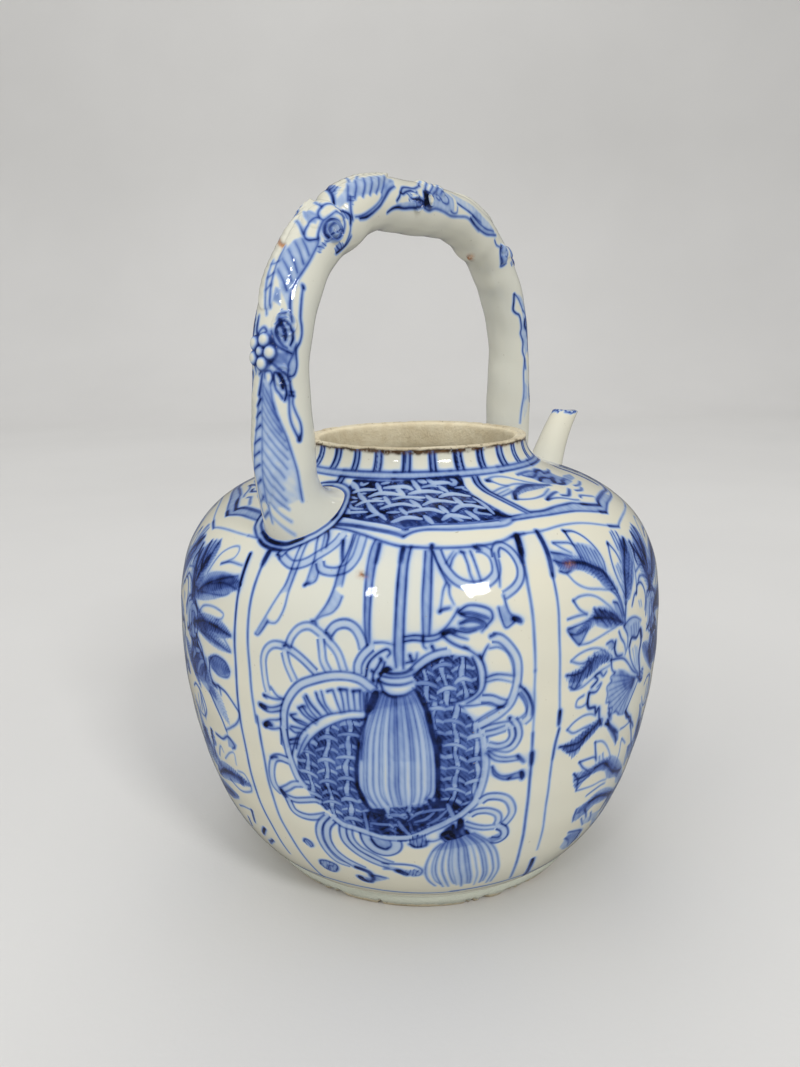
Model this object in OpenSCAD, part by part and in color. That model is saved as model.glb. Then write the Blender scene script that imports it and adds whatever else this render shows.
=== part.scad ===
/* Overhead-handle porcelain teapot with a moulded branch handle.
   Units are millimetres, +Z is up, +X points along the spout.
   The origin is the centre of the foot, on the surface it stands on. */

/* [Body] */
// radius of the belly at its widest
belly_r = 68; // [64:0.5:72]
// height of the widest turn of the belly
belly_z = 64; // [62:0.5:66]
// thickness of the thrown wall
wall = 4; // [3:0.25:5]
// height of the seam where the two thrown halves are luted
seam_z = 58; // [54:1:60]

/* [Foot] */
// outer radius of the foot where it stands
foot_r = 46; // [44:0.5:48]
// height of the foot ring
foot_h = 5; // [4.5:0.25:6]
// width of the foot ring where it stands
foot_w = 4.5; // [3.5:0.25:6]
// thickness of the pot's floor
floor_t = 4.5; // [4:0.25:6]

/* [Neck] */
// outer radius of the mouth
mouth_r = 30.5; // [29:0.25:32]
// thickness of the lip, inside which a lid's flange drops
mouth_wall = 3.5; // [3:0.25:4]
// radius at which the neck's cove leaves the shoulder
cove_r = 40; // [38:0.5:42]
// height of the mouth above the table
mouth_z = 119; // [117:0.5:121]
// height of the bare lip
lip_h = 2.4; // [1.6:0.2:3]

/* [Handle] */
// how far each leg's axis stands in from the widest turn of the belly
leg_in = 13.6; // [12.6:0.2:14.6]
// height at which the legs begin to bend
bend_z = 136; // [134:0.5:138]
// radius of the two bends, on the axis of the branch
bend_r = 42; // [40:0.5:44]
// radius of the branch over the arch
branch_r = 6.5; // [6:0.1:7]
// radius of a leg at its foot
leg_foot_r = 7.2; // [6.8:0.1:7.6]
// height at which a leg stands on its spread foot
leg_z = 117; // [115:0.5:119]
// radius to which a leg's foot spreads, just under the shoulder's face
spread_r = 12.5; // [11:0.5:13]

/* [Sprigs] */
// how far the leaves stand off the branch
leaf_t = 1.4; // [1:0.1:2]
// half width of a leaf
leaf_w = 5.6; // [5:0.1:6]
// length of the leaf on each bend
bend_leaf_l = 22; // [20:0.5:23]
// length of the front leaf that reaches over the arch
front_leaf_l = 19; // [17:0.5:20]
// length of the rear leaf that reaches over the arch
rear_leaf_l = 24; // [22:0.5:25]
// how far the petals stand off the branch
petal_t = 1.9; // [1.4:0.1:2.4]
// radius of one petal
petal_r = 2.3; // [2:0.1:2.5]

/* [Spout] */
// radius of the spout at its root, inside the wall
root_r = 14; // [12:0.5:15]
// radius of the spout at its lip, across
lip_r = 4.6; // [4.3:0.1:5]
// thickness of the spout's wall at the lip
lip_t = 1.5; // [1.2:0.1:1.7]
// thickness of the spout's wall at the root
root_t = 2.6; // [2:0.1:3.2]
// radius of each strainer hole behind the spout
strain_r = 2.1; // [1.8:0.1:2.3]

/* [Hidden] */
glaze = [0.87, 0.89, 0.85];
cobalt = [0.25, 0.36, 0.66];
biscuit = [0.77, 0.71, 0.61];

// the curve of the lower and the upper belly, each a superellipse
low_drop = 67.2;
low_bend = 1.7;
low_round = 4.7;
top_rise = 47.9;
top_bend = 3.37;
top_round = 2.94;
function low_r(z) = belly_r * pow(1 - pow((belly_z - z) / low_drop, low_bend), 1 / low_round);
function top_r(z) = belly_r * pow(1 - pow((z - belly_z) / top_rise, top_bend), 1 / top_round);
function body_r(z) = z < belly_z ? low_r(z) : top_r(z);
function top_z(r) = belly_z + top_rise * pow(1 - pow(r / belly_r, top_round), 1 / top_bend);
cove_z = top_z(cove_r);

// the wall's inner face, set in square to the outer face
function slope(z) = (body_r(z + 0.05) - body_r(z - 0.05)) / 0.1;
function inner(z) = let (s = slope(z), n = sqrt(1 + s * s)) [body_r(z) - wall / n, z + wall * s / n];
low_zs = [for (i = [0:20]) foot_h + (seam_z - foot_h) * pow(i / 20, 1.4)];
top_zs = [for (i = [0:26]) cove_z - (cove_z - seam_z) * pow(i / 26, 1.6)];
floor_z = foot_h + floor_t;
mouth_bore = mouth_r - mouth_wall;
leg_x = belly_r - leg_in;

// the neck's cove runs from the shoulder to the mouth
neck_top = mouth_z - lip_h;
function neck_r(z) = mouth_r + (cove_r - mouth_r) * pow(max(mouth_z - z, 0) / (mouth_z - cove_z), 2.5);
throat_r = cove_r - 6;

top_x = leg_x - bend_r;
top_h = bend_z + bend_r;
fine = 96;

// the spout's centre line is a cubic curve in the XZ plane
curve = [[60, 74], [80, 80], [78, 99], [100, 116]];
steps = 14;
sides = 24;
hole_z = 76;
ring_r = 6.2;

// how a leg's foot leans, drops and moves over as it spreads
foot_lean = 44;
foot_drop = 16;
foot_shift = 8;
foot_steps = 10;
foot_sides = 32;

// ---------- the thrown body ----------

// everything inside the outer face of the belly, used to fit what is luted to it
module belly_mass() {
  pts = [for (i = [0:30]) let (z = foot_h + (cove_z - foot_h) * (1 - pow(1 - i / 30, 1.6)))
    [body_r(z), z]];
  rotate_extrude($fn = 180)
    polygon(concat([[0, foot_h]], pts, [[0, cove_z]]));
}

// the solid neck, from the shoulder's edge up
function neck_line() = [for (i = [0:12]) let (z = cove_z + (neck_top - cove_z) * i / 12) [neck_r(z), z]];

module neck_mass() {
  rotate_extrude($fn = 180)
    polygon(concat([[0, cove_z]], neck_line(), [[0, neck_top]]));
}

module foot_ring() {
  color(biscuit)
    rotate_extrude($fn = 180)
      polygon([[foot_r - foot_w, 0], [foot_r - 0.6, 0], [foot_r, 0.8], [low_r(foot_h), foot_h],
        [foot_r - foot_w - 1, foot_h], [foot_r - foot_w - 0.4, 1]]);
}

module lower_bowl() {
  outer = [for (z = low_zs) [low_r(z), z]];
  inside = [for (i = [20:-1:0]) inner(low_zs[i])];
  kept = [for (p = inside) if (p[1] > floor_z + 0.6 && p[1] < seam_z - 0.3) p];
  color(glaze)
    rotate_extrude($fn = 180)
      polygon(concat([[0, foot_h]], outer, [[low_r(seam_z) - wall, seam_z]], kept,
        [[kept[len(kept) - 1][0] - 2.5, floor_z], [0, floor_z]]));
}

module shoulder() {
  outer = [for (i = [26:-1:0]) [body_r(top_zs[i]), top_zs[i]]];
  inside = [for (z = top_zs) inner(z)];
  kept = [for (p = inside) if (p[0] > throat_r + 1.5 && p[1] > seam_z + 0.3) p];
  color(glaze)
    difference() {
      rotate_extrude($fn = 180)
        polygon(concat(outer, [[throat_r, cove_z], [throat_r, cove_z - 2.6]], kept,
          [[body_r(seam_z) - wall, seam_z]]));
      strainer();
    }
}

// one hole in the middle and a ring round it
module strainer() {
  for (a = [-1:4])
    translate([belly_r - 12, 0, hole_z])
      rotate([a < 0 ? 0 : 72 * a, 0, 0])
        translate([0, 0, a < 0 ? 0 : ring_r])
          rotate([0, 90, 0])
            cylinder(r = strain_r, h = 16, $fn = 32);
}

module neck() {
  color(glaze)
    rotate_extrude($fn = 180)
      polygon(concat(neck_line(), [[mouth_bore, neck_top], [mouth_bore, cove_z + 3.6],
        [throat_r - 3, cove_z + 1.4], [throat_r, cove_z]]));
}

module mouth_rim() {
  color(biscuit)
    rotate_extrude($fn = 180)
      polygon([[mouth_bore, neck_top], [neck_r(neck_top), neck_top], [mouth_r, mouth_z - 0.5],
        [mouth_r - 0.6, mouth_z], [mouth_bore + 0.5, mouth_z], [mouth_bore, mouth_z - 0.5]]);
}

// ---------- the spout ----------

function bez(t) = pow(1 - t, 3) * curve[0] + 3 * pow(1 - t, 2) * t * curve[1]
  + 3 * (1 - t) * t * t * curve[2] + pow(t, 3) * curve[3];
function heading(t) = let (d = bez(min(t + 0.01, 1)) - bez(max(t - 0.01, 0))) atan2(d[1], d[0]);
// the rings turn level towards the lip, which is cut nearly flat
function tilt(t) = heading(t) + (84 - heading(1)) * pow(t, 5);
function spout_r(t) = lip_r + (root_r - lip_r) * pow(max(1 - t, 0), 1.75);
function spout_t(t) = lip_t + (root_t - lip_t) * max(1 - t, 0);
function stretch(t) = 1 + 0.1 * pow(t, 6);

// a solid lofted through closed rings that have the same number of points
module loft(rings) {
  n = len(rings[0]);
  m = len(rings);
  pts = [for (ring = rings) for (p = ring) p];
  skin = [for (i = [0:m - 2]) for (k = [0:n - 1]) let (j = (k + 1) % n)
    [i * n + k, i * n + j, (i + 1) * n + j, (i + 1) * n + k]];
  caps = [[for (k = [n - 1:-1:0]) k], [for (k = [0:n - 1]) (m - 1) * n + k]];
  polyhedron(points = pts, faces = concat(skin, caps), convexity = 6);
}

// rings along the centre line, thinner by cut times the wall on every side
function spout_ring(t, cut) = let (c = bez(t), a = tilt(t), r = spout_r(t) - cut * spout_t(t))
  [for (k = [0:sides - 1]) let (q = 360 * k / sides, u = r * stretch(t) * cos(q))
    [c[0] - u * sin(a), r * sin(q), c[1] + u * cos(a)]];

module spout() {
  color(glaze)
    difference() {
      loft([for (i = [0:steps]) spout_ring(i / steps, 0)]);
      loft([for (i = [0:steps]) spout_ring(1.15 * i / steps - 0.1, 1)]);
      belly_mass();
    }
}

// ---------- the branch handle ----------

module leg_shape(side, grow) {
  translate([side * leg_x, 0, leg_z])
    cylinder(r1 = leg_foot_r + grow, r2 = branch_r + grow, h = bend_z - leg_z, $fn = fine);
}

// a quarter ring on the side given, from the leg up to the top
module bend_shape(side, grow) {
  translate([side * top_x, 0, bend_z])
    rotate([90, 0, side > 0 ? 0 : 180])
      rotate_extrude(angle = 90, $fn = fine * 2)
        translate([bend_r, 0])
          circle(r = branch_r + grow, $fn = fine / 2);
}

module top_shape(grow) {
  translate([-top_x, 0, top_h])
    rotate([0, 90, 0])
      cylinder(r = branch_r + grow, h = 2 * top_x, $fn = fine / 2);
}

// a leg's foot spreads like a trumpet as it leans over to the slope of the
// shoulder, more on the side towards the neck, and is cut to the curves of both
function foot_ring_at(s) = let (a = foot_lean * s, r = leg_foot_r + (spread_r - leg_foot_r) * pow(s, 3))
  [for (k = [0:foot_sides - 1]) let (q = 360 * k / foot_sides, u = r * cos(q))
    [leg_x - foot_shift * s * s + u * cos(a), r * sin(q), leg_z - foot_drop * s - u * sin(a)]];

module spread_foot() {
  color(glaze)
    difference() {
      loft([for (i = [foot_steps:-1:0]) foot_ring_at(i / foot_steps)]);
      belly_mass();
      neck_mass();
    }
}

module front_spread_foot() {
  mirror([1, 0, 0])
    spread_foot();
}

module rear_spread_foot() {
  spread_foot();
}

module front_leg() {
  color(glaze)
    leg_shape(-1, 0);
}

module rear_leg() {
  color(glaze)
    leg_shape(1, 0);
}

module arch() {
  color(glaze)
    union() {
      bend_shape(-1, 0);
      bend_shape(1, 0);
      top_shape(0);
    }
}

// local frame on a bend: +Z out of the branch, +X along it, up = degrees above the leg
module on_bend(side, up) {
  translate([side * top_x, 0, bend_z])
    rotate([0, side * (90 - up), 0])
      translate([0, 0, bend_r])
        children();
}

// local frame on a leg: +Z out of the branch, +X up the leg
module on_leg(side, z) {
  translate([side * leg_x, 0, z])
    rotate([0, side * 90, 0])
      children();
}

// a pointed leaf outline of the length given, from two arcs
module leaf_outline(len, half) {
  rad = (len * len / 4 + half * half) / (2 * half);
  intersection() {
    translate([0, rad - half])
      circle(r = rad, $fn = fine);
    translate([0, half - rad])
      circle(r = rad, $fn = fine);
  }
}

// leaf blade with a cleft along the midrib
module leaf_cut(len) {
  linear_extrude(height = branch_r + 6)
    difference() {
      leaf_outline(len, leaf_w);
      leaf_outline(len * 0.72, 0.5);
    }
}

module rosette_cut(petals, size) {
  linear_extrude(height = branch_r + 7)
    union() {
      for (a = [0:petals - 1])
        rotate(360 / petals * a)
          translate([size, 0])
            circle(r = petal_r, $fn = 32);
      circle(r = size * 0.8, $fn = 32);
    }
}

module bend_shell(side, t) {
  difference() {
    bend_shape(side, t);
    bend_shape(side, 0);
  }
}

module leg_shell(side, t) {
  difference() {
    leg_shape(side, t);
    leg_shape(side, 0);
  }
}

module leg_leaf(side) {
  color(cobalt)
    intersection() {
      leg_shell(side, leaf_t);
      on_leg(side, (leg_z + bend_z) / 2)
        leaf_cut(bend_z - leg_z - 1);
    }
}

module bend_leaf(side, up, len) {
  color(cobalt)
    intersection() {
      bend_shell(side, leaf_t);
      on_bend(side, up)
        leaf_cut(len);
    }
}

module front_leg_leaf() {
  leg_leaf(-1);
}

module rear_leg_leaf() {
  leg_leaf(1);
}

module front_bend_leaf() {
  bend_leaf(-1, 34, bend_leaf_l);
}

module rear_bend_leaf() {
  bend_leaf(1, 20, bend_leaf_l);
}

module front_top_leaf() {
  bend_leaf(-1, 75, front_leaf_l);
}

module rear_top_leaf() {
  bend_leaf(1, 66, rear_leaf_l);
}

// knots swell the inner side of the branch at each bend
module knot(up) {
  ball = branch_r - 0.7;
  stand = 1.6;
  color(glaze)
    difference() {
      on_bend(1, up)
        translate([0, 0, ball - branch_r - stand])
          sphere(r = ball, $fn = 64);
      bend_shape(1, 0);
    }
}

module front_knot() {
  mirror([1, 0, 0])
    knot(58);
}

module rear_knot() {
  knot(42);
}

module bend_rosette(side, up, petals, size) {
  color(cobalt)
    intersection() {
      bend_shell(side, petal_t);
      on_bend(side, up)
        rosette_cut(petals, size);
    }
}

module front_blossom() {
  bend_rosette(-1, 13, 5, 2.6);
}

module bend_blossom() {
  bend_rosette(-1, 54, 5, 2.4);
}

module rear_bud() {
  bend_rosette(1, 43, 3, 2.1);
}

module top_blossom() {
  color(cobalt)
    intersection() {
      difference() {
        top_shape(petal_t);
        top_shape(0);
      }
      translate([top_x / 3, 0, top_h])
        rosette_cut(6, 3.2);
    }
}

foot_ring();
lower_bowl();
shoulder();
neck();
mouth_rim();
spout();
front_spread_foot();
rear_spread_foot();
front_leg();
rear_leg();
arch();
front_knot();
rear_knot();
front_leg_leaf();
rear_leg_leaf();
front_bend_leaf();
rear_bend_leaf();
front_top_leaf();
rear_top_leaf();
front_blossom();
bend_blossom();
top_blossom();
rear_bud();
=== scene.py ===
"""Looks of a porcelain teapot with an overhead branch handle, painted in underglaze cobalt.

The pot's skin, lip, foot, spout and handle are swept or revolved in code from the same
sizes as the CAD solids.  The painting is a set of brush strokes: each is laid on the skin
as ink, one value at each vertex, and the glaze material turns ink into colour.
"""
import math

import bpy
import numpy as np
from mathutils import Matrix, Vector


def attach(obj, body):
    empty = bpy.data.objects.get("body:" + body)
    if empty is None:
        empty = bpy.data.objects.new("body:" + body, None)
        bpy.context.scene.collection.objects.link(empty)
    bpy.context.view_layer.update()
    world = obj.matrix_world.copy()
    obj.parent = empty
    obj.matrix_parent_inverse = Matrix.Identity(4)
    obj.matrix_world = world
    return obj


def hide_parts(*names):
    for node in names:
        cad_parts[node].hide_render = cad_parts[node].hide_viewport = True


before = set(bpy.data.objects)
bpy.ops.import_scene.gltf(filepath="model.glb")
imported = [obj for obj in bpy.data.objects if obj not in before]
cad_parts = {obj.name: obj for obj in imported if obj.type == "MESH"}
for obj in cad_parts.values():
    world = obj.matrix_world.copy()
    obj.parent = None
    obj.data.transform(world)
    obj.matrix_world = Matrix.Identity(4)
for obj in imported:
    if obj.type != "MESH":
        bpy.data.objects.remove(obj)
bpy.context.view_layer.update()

# ---------- sizes, in millimetres ----------

BELLY_R, BELLY_Z, WALL = 68.0, 64.0, 4.0
FOOT_R, FOOT_H, FOOT_W, FLOOR_T = 46.0, 5.0, 4.5, 4.5
MOUTH_R, MOUTH_BORE, COVE_R, MOUTH_Z, LIP_H = 30.5, 27.0, 40.0, 119.0, 2.4
BARE_H = 0.8                                   # the glaze stops this far below the mouth's edge
LEG_X, BEND_Z, BEND_R, BRANCH_R, LEG_FOOT_R, LEG_Z = 54.4, 136.0, 42.0, 6.5, 7.2, 117.0
SPREAD_R, FOOT_DROP, FOOT_LEAN, FOOT_SHIFT = 12.5, 16.0, 44.0, 8.0
ROOT_R, LIP_R, LIP_T, ROOT_T = 14.0, 4.6, 1.5, 2.6
SPOUT_CURVE = np.array([[60.0, 74], [80, 80], [78, 99], [100, 116]])
LIP_HEADING = 84                               # the spout ends this many degrees over the level
# the lower and the upper curve of the belly, each a superellipse, and the cove of the neck
LOW_DROP, LOW_BEND, LOW_ROUND = 67.2, 1.7, 4.7
TOP_RISE, TOP_BEND, TOP_ROUND = 47.9, 3.37, 2.94
COVE_BEND = 2.5
COVE_Z = BELLY_Z + TOP_RISE * (1 - (COVE_R / BELLY_R) ** TOP_ROUND) ** (1 / TOP_BEND)
TOP_X = LEG_X - BEND_R
BEND_L = BEND_R * math.pi / 2                  # length of one bend along the branch
LEG_L = BEND_Z - LEG_Z
BRANCH_L = 2 * LEG_L + 2 * BEND_L + 2 * TOP_X  # from one foot to the other

AROUND = 1800                                  # columns of the pot's skin
COARSE = 4                                     # columns of the skin to one column of the inside
ROW = 0.25                                     # height of one row of the skin
PLAIN_UP_TO = 13.0                             # up to this length of wall the rows are coarse
WALL_LENGTH = 142.9                            # length of wall from the foot's edge to the lip
MM_PER_DEG = math.radians(1) * BELLY_R
BRANCH_MM_PER_DEG = math.radians(1) * BRANCH_R


# ---------- camera ----------

def make_camera():
    """The photograph's view, fitted to the pot's outline: from the front leg's side, a little above."""
    right = Vector((0.5727752, -0.81955567, -0.01603344))
    up = Vector((0.20303983, 0.1228969, 0.97142739))
    back = right.cross(up)
    cam = bpy.data.objects.new("camera", bpy.data.cameras.new("camera"))
    cam.data.sensor_width = 36
    cam.data.lens = 28.68
    cam.data.clip_start = 0.02
    m = Matrix((right, up, back)).transposed().to_4x4()
    m.translation = Vector((-0.198212, -0.133460, 0.147984))
    cam.matrix_world = m
    bpy.context.scene.collection.objects.link(cam)
    bpy.context.scene.camera = cam


# ---------- brushes ----------

CREEP_FROM = 0.12    # cobalt creeps only from ground that holds more ink than this


class Panel:
    """A painted surface: x in degrees or mm, y in mm or degrees, ink from 0 to 1.
    squeeze gives, for each row, how much narrower the surface is than at its widest."""

    def __init__(self, x, y, mm_x, mm_y, squeeze=None):
        self.scale = np.array([mm_x, mm_y])
        self.x, self.y = x * mm_x, y * mm_y
        self.squeeze = np.ones(len(y)) if squeeze is None else squeeze
        self.ink = np.zeros((len(y), len(x)))

    def mm(self, pts):
        """Points in mm on the panel."""
        return np.array(pts, float) * self.scale

    def smooth(self, pts, steps=4):
        """Catmull-Rom curve through the points."""
        p = self.mm(pts)
        if len(p) < 3:
            return p
        q = np.vstack([2 * p[0] - p[1], p, 2 * p[-1] - p[-2]])
        t = (np.arange(steps) / steps)[:, None]
        out = [0.5 * (2 * q[i] + (q[i + 1] - q[i - 1]) * t
                      + (2 * q[i - 1] - 5 * q[i] + 4 * q[i + 1] - q[i + 2]) * t * t
                      + (3 * q[i] - q[i - 1] - 3 * q[i + 1] + q[i + 2]) * t ** 3)
               for i in range(1, len(q) - 2)]
        return np.vstack(out + [p[-1:]])

    def window(self, pts, pad):
        """Rows and columns within pad mm of the points."""
        j0, j1 = np.searchsorted(self.y, (pts[:, 1].min() - pad, pts[:, 1].max() + pad))
        wide = pad / max(self.squeeze[j0:j1].min(), 0.3) if j1 > j0 else pad
        i0, i1 = np.searchsorted(self.x, (pts[:, 0].min() - wide, pts[:, 0].max() + wide))
        return slice(j0, j1), slice(i0, i1)

    def grid(self, win):
        """Places of a window's columns and rows, in mm."""
        return self.x[win[1]][None, :], self.y[win[0]][:, None]

    def distance(self, pts, win):
        """Distance in mm to a polyline, and how far along it the nearest point lies (0 to 1)."""
        gx, gy = self.grid(win)
        sq = self.squeeze[win[0]][:, None]
        best = np.full((gy.size, gx.size), 1e9)
        along = np.zeros_like(best)
        n = max(len(pts) - 1, 1)
        for k in range(n):
            a, d = pts[k], pts[k + 1] - pts[k]
            dx = (gx - a[0]) * sq
            reach = (d[0] * sq) ** 2 + d[1] ** 2 + 1e-9
            t = np.clip((dx * d[0] * sq + (gy - a[1]) * d[1]) / reach, 0, 1)
            q = (dx - t * d[0] * sq) ** 2 + (gy - a[1] - t * d[1]) ** 2
            near = q < best
            best = np.where(near, q, best)
            along = np.where(near, (k + t) / n, along)
        return np.sqrt(best), along

    def line(self, pts, pad):
        """The window round a smooth line, distance to the line, and how far along it, 0 to 1."""
        curve = self.smooth(pts)
        win = self.window(curve, pad)
        return (win, *self.distance(curve, win))

    def shape(self, pts, pad):
        """A closed shape in mm, the window round it, and the window's places."""
        p = self.mm(pts)
        win = self.window(p, pad)
        return (p, win, *self.grid(win))

    def add(self, win, v):
        """Lays ink over the ink that is there, as a glaze over another."""
        self.ink[win] = 1 - (1 - self.ink[win]) * (1 - np.clip(v, 0, 1))

    def bleed(self, reach, share):
        """Tints the white between close strokes, where cobalt has crept through the glaze."""
        soft = self.ink
        for axis, step in ((0, self.y[1] - self.y[0]), (1, self.x[1] - self.x[0])):
            for _ in range(2):
                n = max(1, round(reach / step))
                pad = [(n, n) if a == axis else (0, 0) for a in (0, 1)]
                run = np.cumsum(np.pad(soft, pad, mode="wrap" if axis else "edge"), axis=axis)
                run = np.insert(run, 0, 0, axis=axis)
                size = soft.shape[axis]
                ahead, behind = range(2 * n, 2 * n + size), range(size)
                soft = (np.take(run, ahead, axis) - np.take(run, behind, axis)) / (2 * n)
        crept = share * (soft - CREEP_FROM).clip(0)
        self.ink = np.maximum(self.ink, self.ink + crept * (1 - self.ink))

    def depth(self, pts, win):
        """How deep in mm each point lies inside a closed shape, below zero outside it."""
        gx, gy = self.grid(win)
        within = np.zeros((gy.size, gx.size), bool)
        for a, b in zip(pts, np.roll(pts, -1, axis=0)):
            if a[1] != b[1]:
                cross = (gy > a[1]) != (gy > b[1])
                within ^= cross & (gx < a[0] + (gy - a[1]) * (b[0] - a[0]) / (b[1] - a[1]))
        d, _ = self.distance(np.vstack([pts, pts[:1]]), win)
        return np.where(within, d, -d)

    def inside(self, pts, win, soft):
        """Mask of a closed shape, soft at its edge."""
        return np.clip(0.5 + self.depth(pts, win) / (2 * soft), 0, 1)


def edge(d, half, soft=0.2):
    """One within half mm of a line and nothing beyond it, with a soft step between."""
    return np.clip((half + soft - d) / (2 * soft), 0, 1)


def hatch(q, half, soft):
    """Fine strokes, one to each whole step of q."""
    return edge(np.abs(q - np.floor(q) - 0.5), half, soft)


def pen(panel, w, k, pts, steady=False):
    """A brush line about w mm wide: dark where the loaded brush sets down, then paler as it
    runs, and a little blurred where the cobalt bleeds into the glaze."""
    win, d, t = panel.line(pts, w + 0.5)
    start = 1 - np.clip(t * 5, 0, 1)
    ends = 1 - np.clip(np.minimum(t, 1 - t) * 7, 0, 1)
    half = w * (0.36 if w > 0.7 else 0.4)
    tone = 0.95 if steady else 1.02 - 0.26 * t + 0.12 * start
    core = edge(d, half * (1 - 0.25 * ends), 0.22)
    bleed = np.exp(-((np.maximum(d - half, 0)) / 0.28) ** 2)
    panel.add(win, k * tone * np.maximum(core, 0.35 * bleed))


def wipe(panel, w, k, pts):
    """A pale strip left in a dark ground, tapered to its ends, with ink pooled beside it."""
    win, d, t = panel.line(pts, w + 0.6)
    half = w / 2 * (0.55 + 0.45 * np.sin(math.pi * np.clip(t, 0, 1)) ** 0.7)
    m = edge(d, half, 0.14)
    ground = panel.ink[win]
    pool = edge(np.abs(d - half - 0.26), 0.12, 0.14) * (ground > 0.35)
    ground = np.maximum(ground, 0.96 * pool * (1 - m))
    panel.ink[win] = ground * (1 - m) + np.minimum(ground, k + 0.1 * (1 - t)) * m


def ribbon(panel, w, k, pts):
    """A flat ribbon w mm wide: two outlines with a thin wash between them."""
    w *= 1.12
    win, d, t = panel.line(pts, w + 0.6)
    over = edge(d, w / 2 - 0.1)
    panel.ink[win] *= 1 - 0.85 * over
    tone = 1.1 - 0.3 * t
    inner = (0.03 + k * 0.26) * over * (0.5 + 0.7 * np.clip(d / (w / 2), 0, 1) ** 2)
    sides = edge(np.abs(d - w / 2), 0.27, 0.26) * ((t > 1e-6) & (t < 1 - 1e-6))
    panel.add(win, np.maximum(inner, min(0.8, k * 1.4) * tone * sides))


def wash(panel, k, pts):
    """A washed shape, streaked by the brush and darker where ink pools along its edge.
    A strong wash is worked over with fine strokes across the shape, which notch its edge."""
    p, win, gx, gy = panel.shape(pts, 0.7)
    d = panel.depth(p, win)
    streak = 0.5 * np.sin(gx * 3.1 + gy * 1.7 + 1.2 * np.sin(gy * 1.1)) + 0.5 * np.sin(gx * 1.3 - gy * 0.9)
    tone = k * (0.84 + 0.22 * streak + 0.22 * np.exp(-np.abs(d) / 0.45))
    if not 0.4 <= k < 0.7:
        panel.add(win, tone * np.clip(0.5 + d / 0.6, 0, 1))
        return
    lie = p - p.mean(axis=0)
    spread = (lie[:, 0] ** 2 - lie[:, 1] ** 2).sum()
    along = 0.5 * math.atan2(2 * (lie[:, 0] * lie[:, 1]).sum(), spread)
    across = along + math.radians(62)
    q = (gy * math.cos(across) - gx * math.sin(across)) / 1.05 + 0.18 * np.sin(gx * 1.9 + gy)
    fine = hatch(q, 0.13, 0.12)
    m = np.clip(0.5 + (d + 0.3 * fine - 0.15) / 0.44, 0, 1)
    panel.add(win, np.clip(tone * (0.72 + 0.75 * fine), 0, 0.97) * m)


def ground(panel, k, pts):
    """A ground laid on thickly for a pattern to be left white in, with near-black pools."""
    p, win, gx, gy = panel.shape(pts, 0.7)
    pools = np.sin(gx * 0.9 + 1.3 * np.sin(gy * 0.8)) * np.sin(gy * 1.1 - gx * 0.37)
    pools = pools + 0.4 * np.sin(gx * 2.7 + gy * 2.1)
    slant = np.sin(gx * 2.6 + gy * 3.4 + 1.5 * np.sin(gy * 0.8)) * np.sin(gx * 0.8 - gy * 1.3)
    thin = 0.34 * np.clip(np.abs(slant) * 3 - 1.9, 0, 1) * (pools < 0.3)
    panel.add(win, np.clip(k + 0.16 * pools - thin, 0, 1) * panel.inside(p, win, 0.3))


def leaf(panel, w, k, pts):
    """A leaf w mm wide along its midrib, from base to tip: notched edge, fine slanting veins,
    and ink gathered along the midrib."""
    win, d, t = panel.line(pts, w / 2 + 0.8)
    length = np.hypot(*np.diff(panel.smooth(pts), axis=0).T).sum()
    q = (t * length - 0.75 * d) / 0.95 + 0.12 * np.sin(d * 3 + t * 9)
    fine = hatch(q, 0.14, 0.12)
    half = w / 2 * np.clip(np.sin(math.pi * np.clip(0.06 + 0.92 * t, 0, 1) ** 0.85), 0.02, 1) ** 0.75
    m = np.clip(0.5 + (half + 0.28 * fine - d) / 0.4, 0, 1)
    heart = np.exp(-(d / (0.32 * w)) ** 2)
    side = edge(np.abs(d - half), 0.12, 0.16) * 0.6
    ink = k * (0.2 + 0.32 * heart + 0.5 * fine * (0.6 + 0.4 * np.sin(t * 23) ** 2))
    panel.add(win, np.clip(np.maximum(ink, k * side), 0, 0.9) * m)


def clear(panel, pts):
    """A closed shape wiped clean."""
    p = panel.mm(pts)
    win = panel.window(p, 0.5)
    panel.ink[win] *= 1 - panel.inside(p, win, 0.25)


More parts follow.
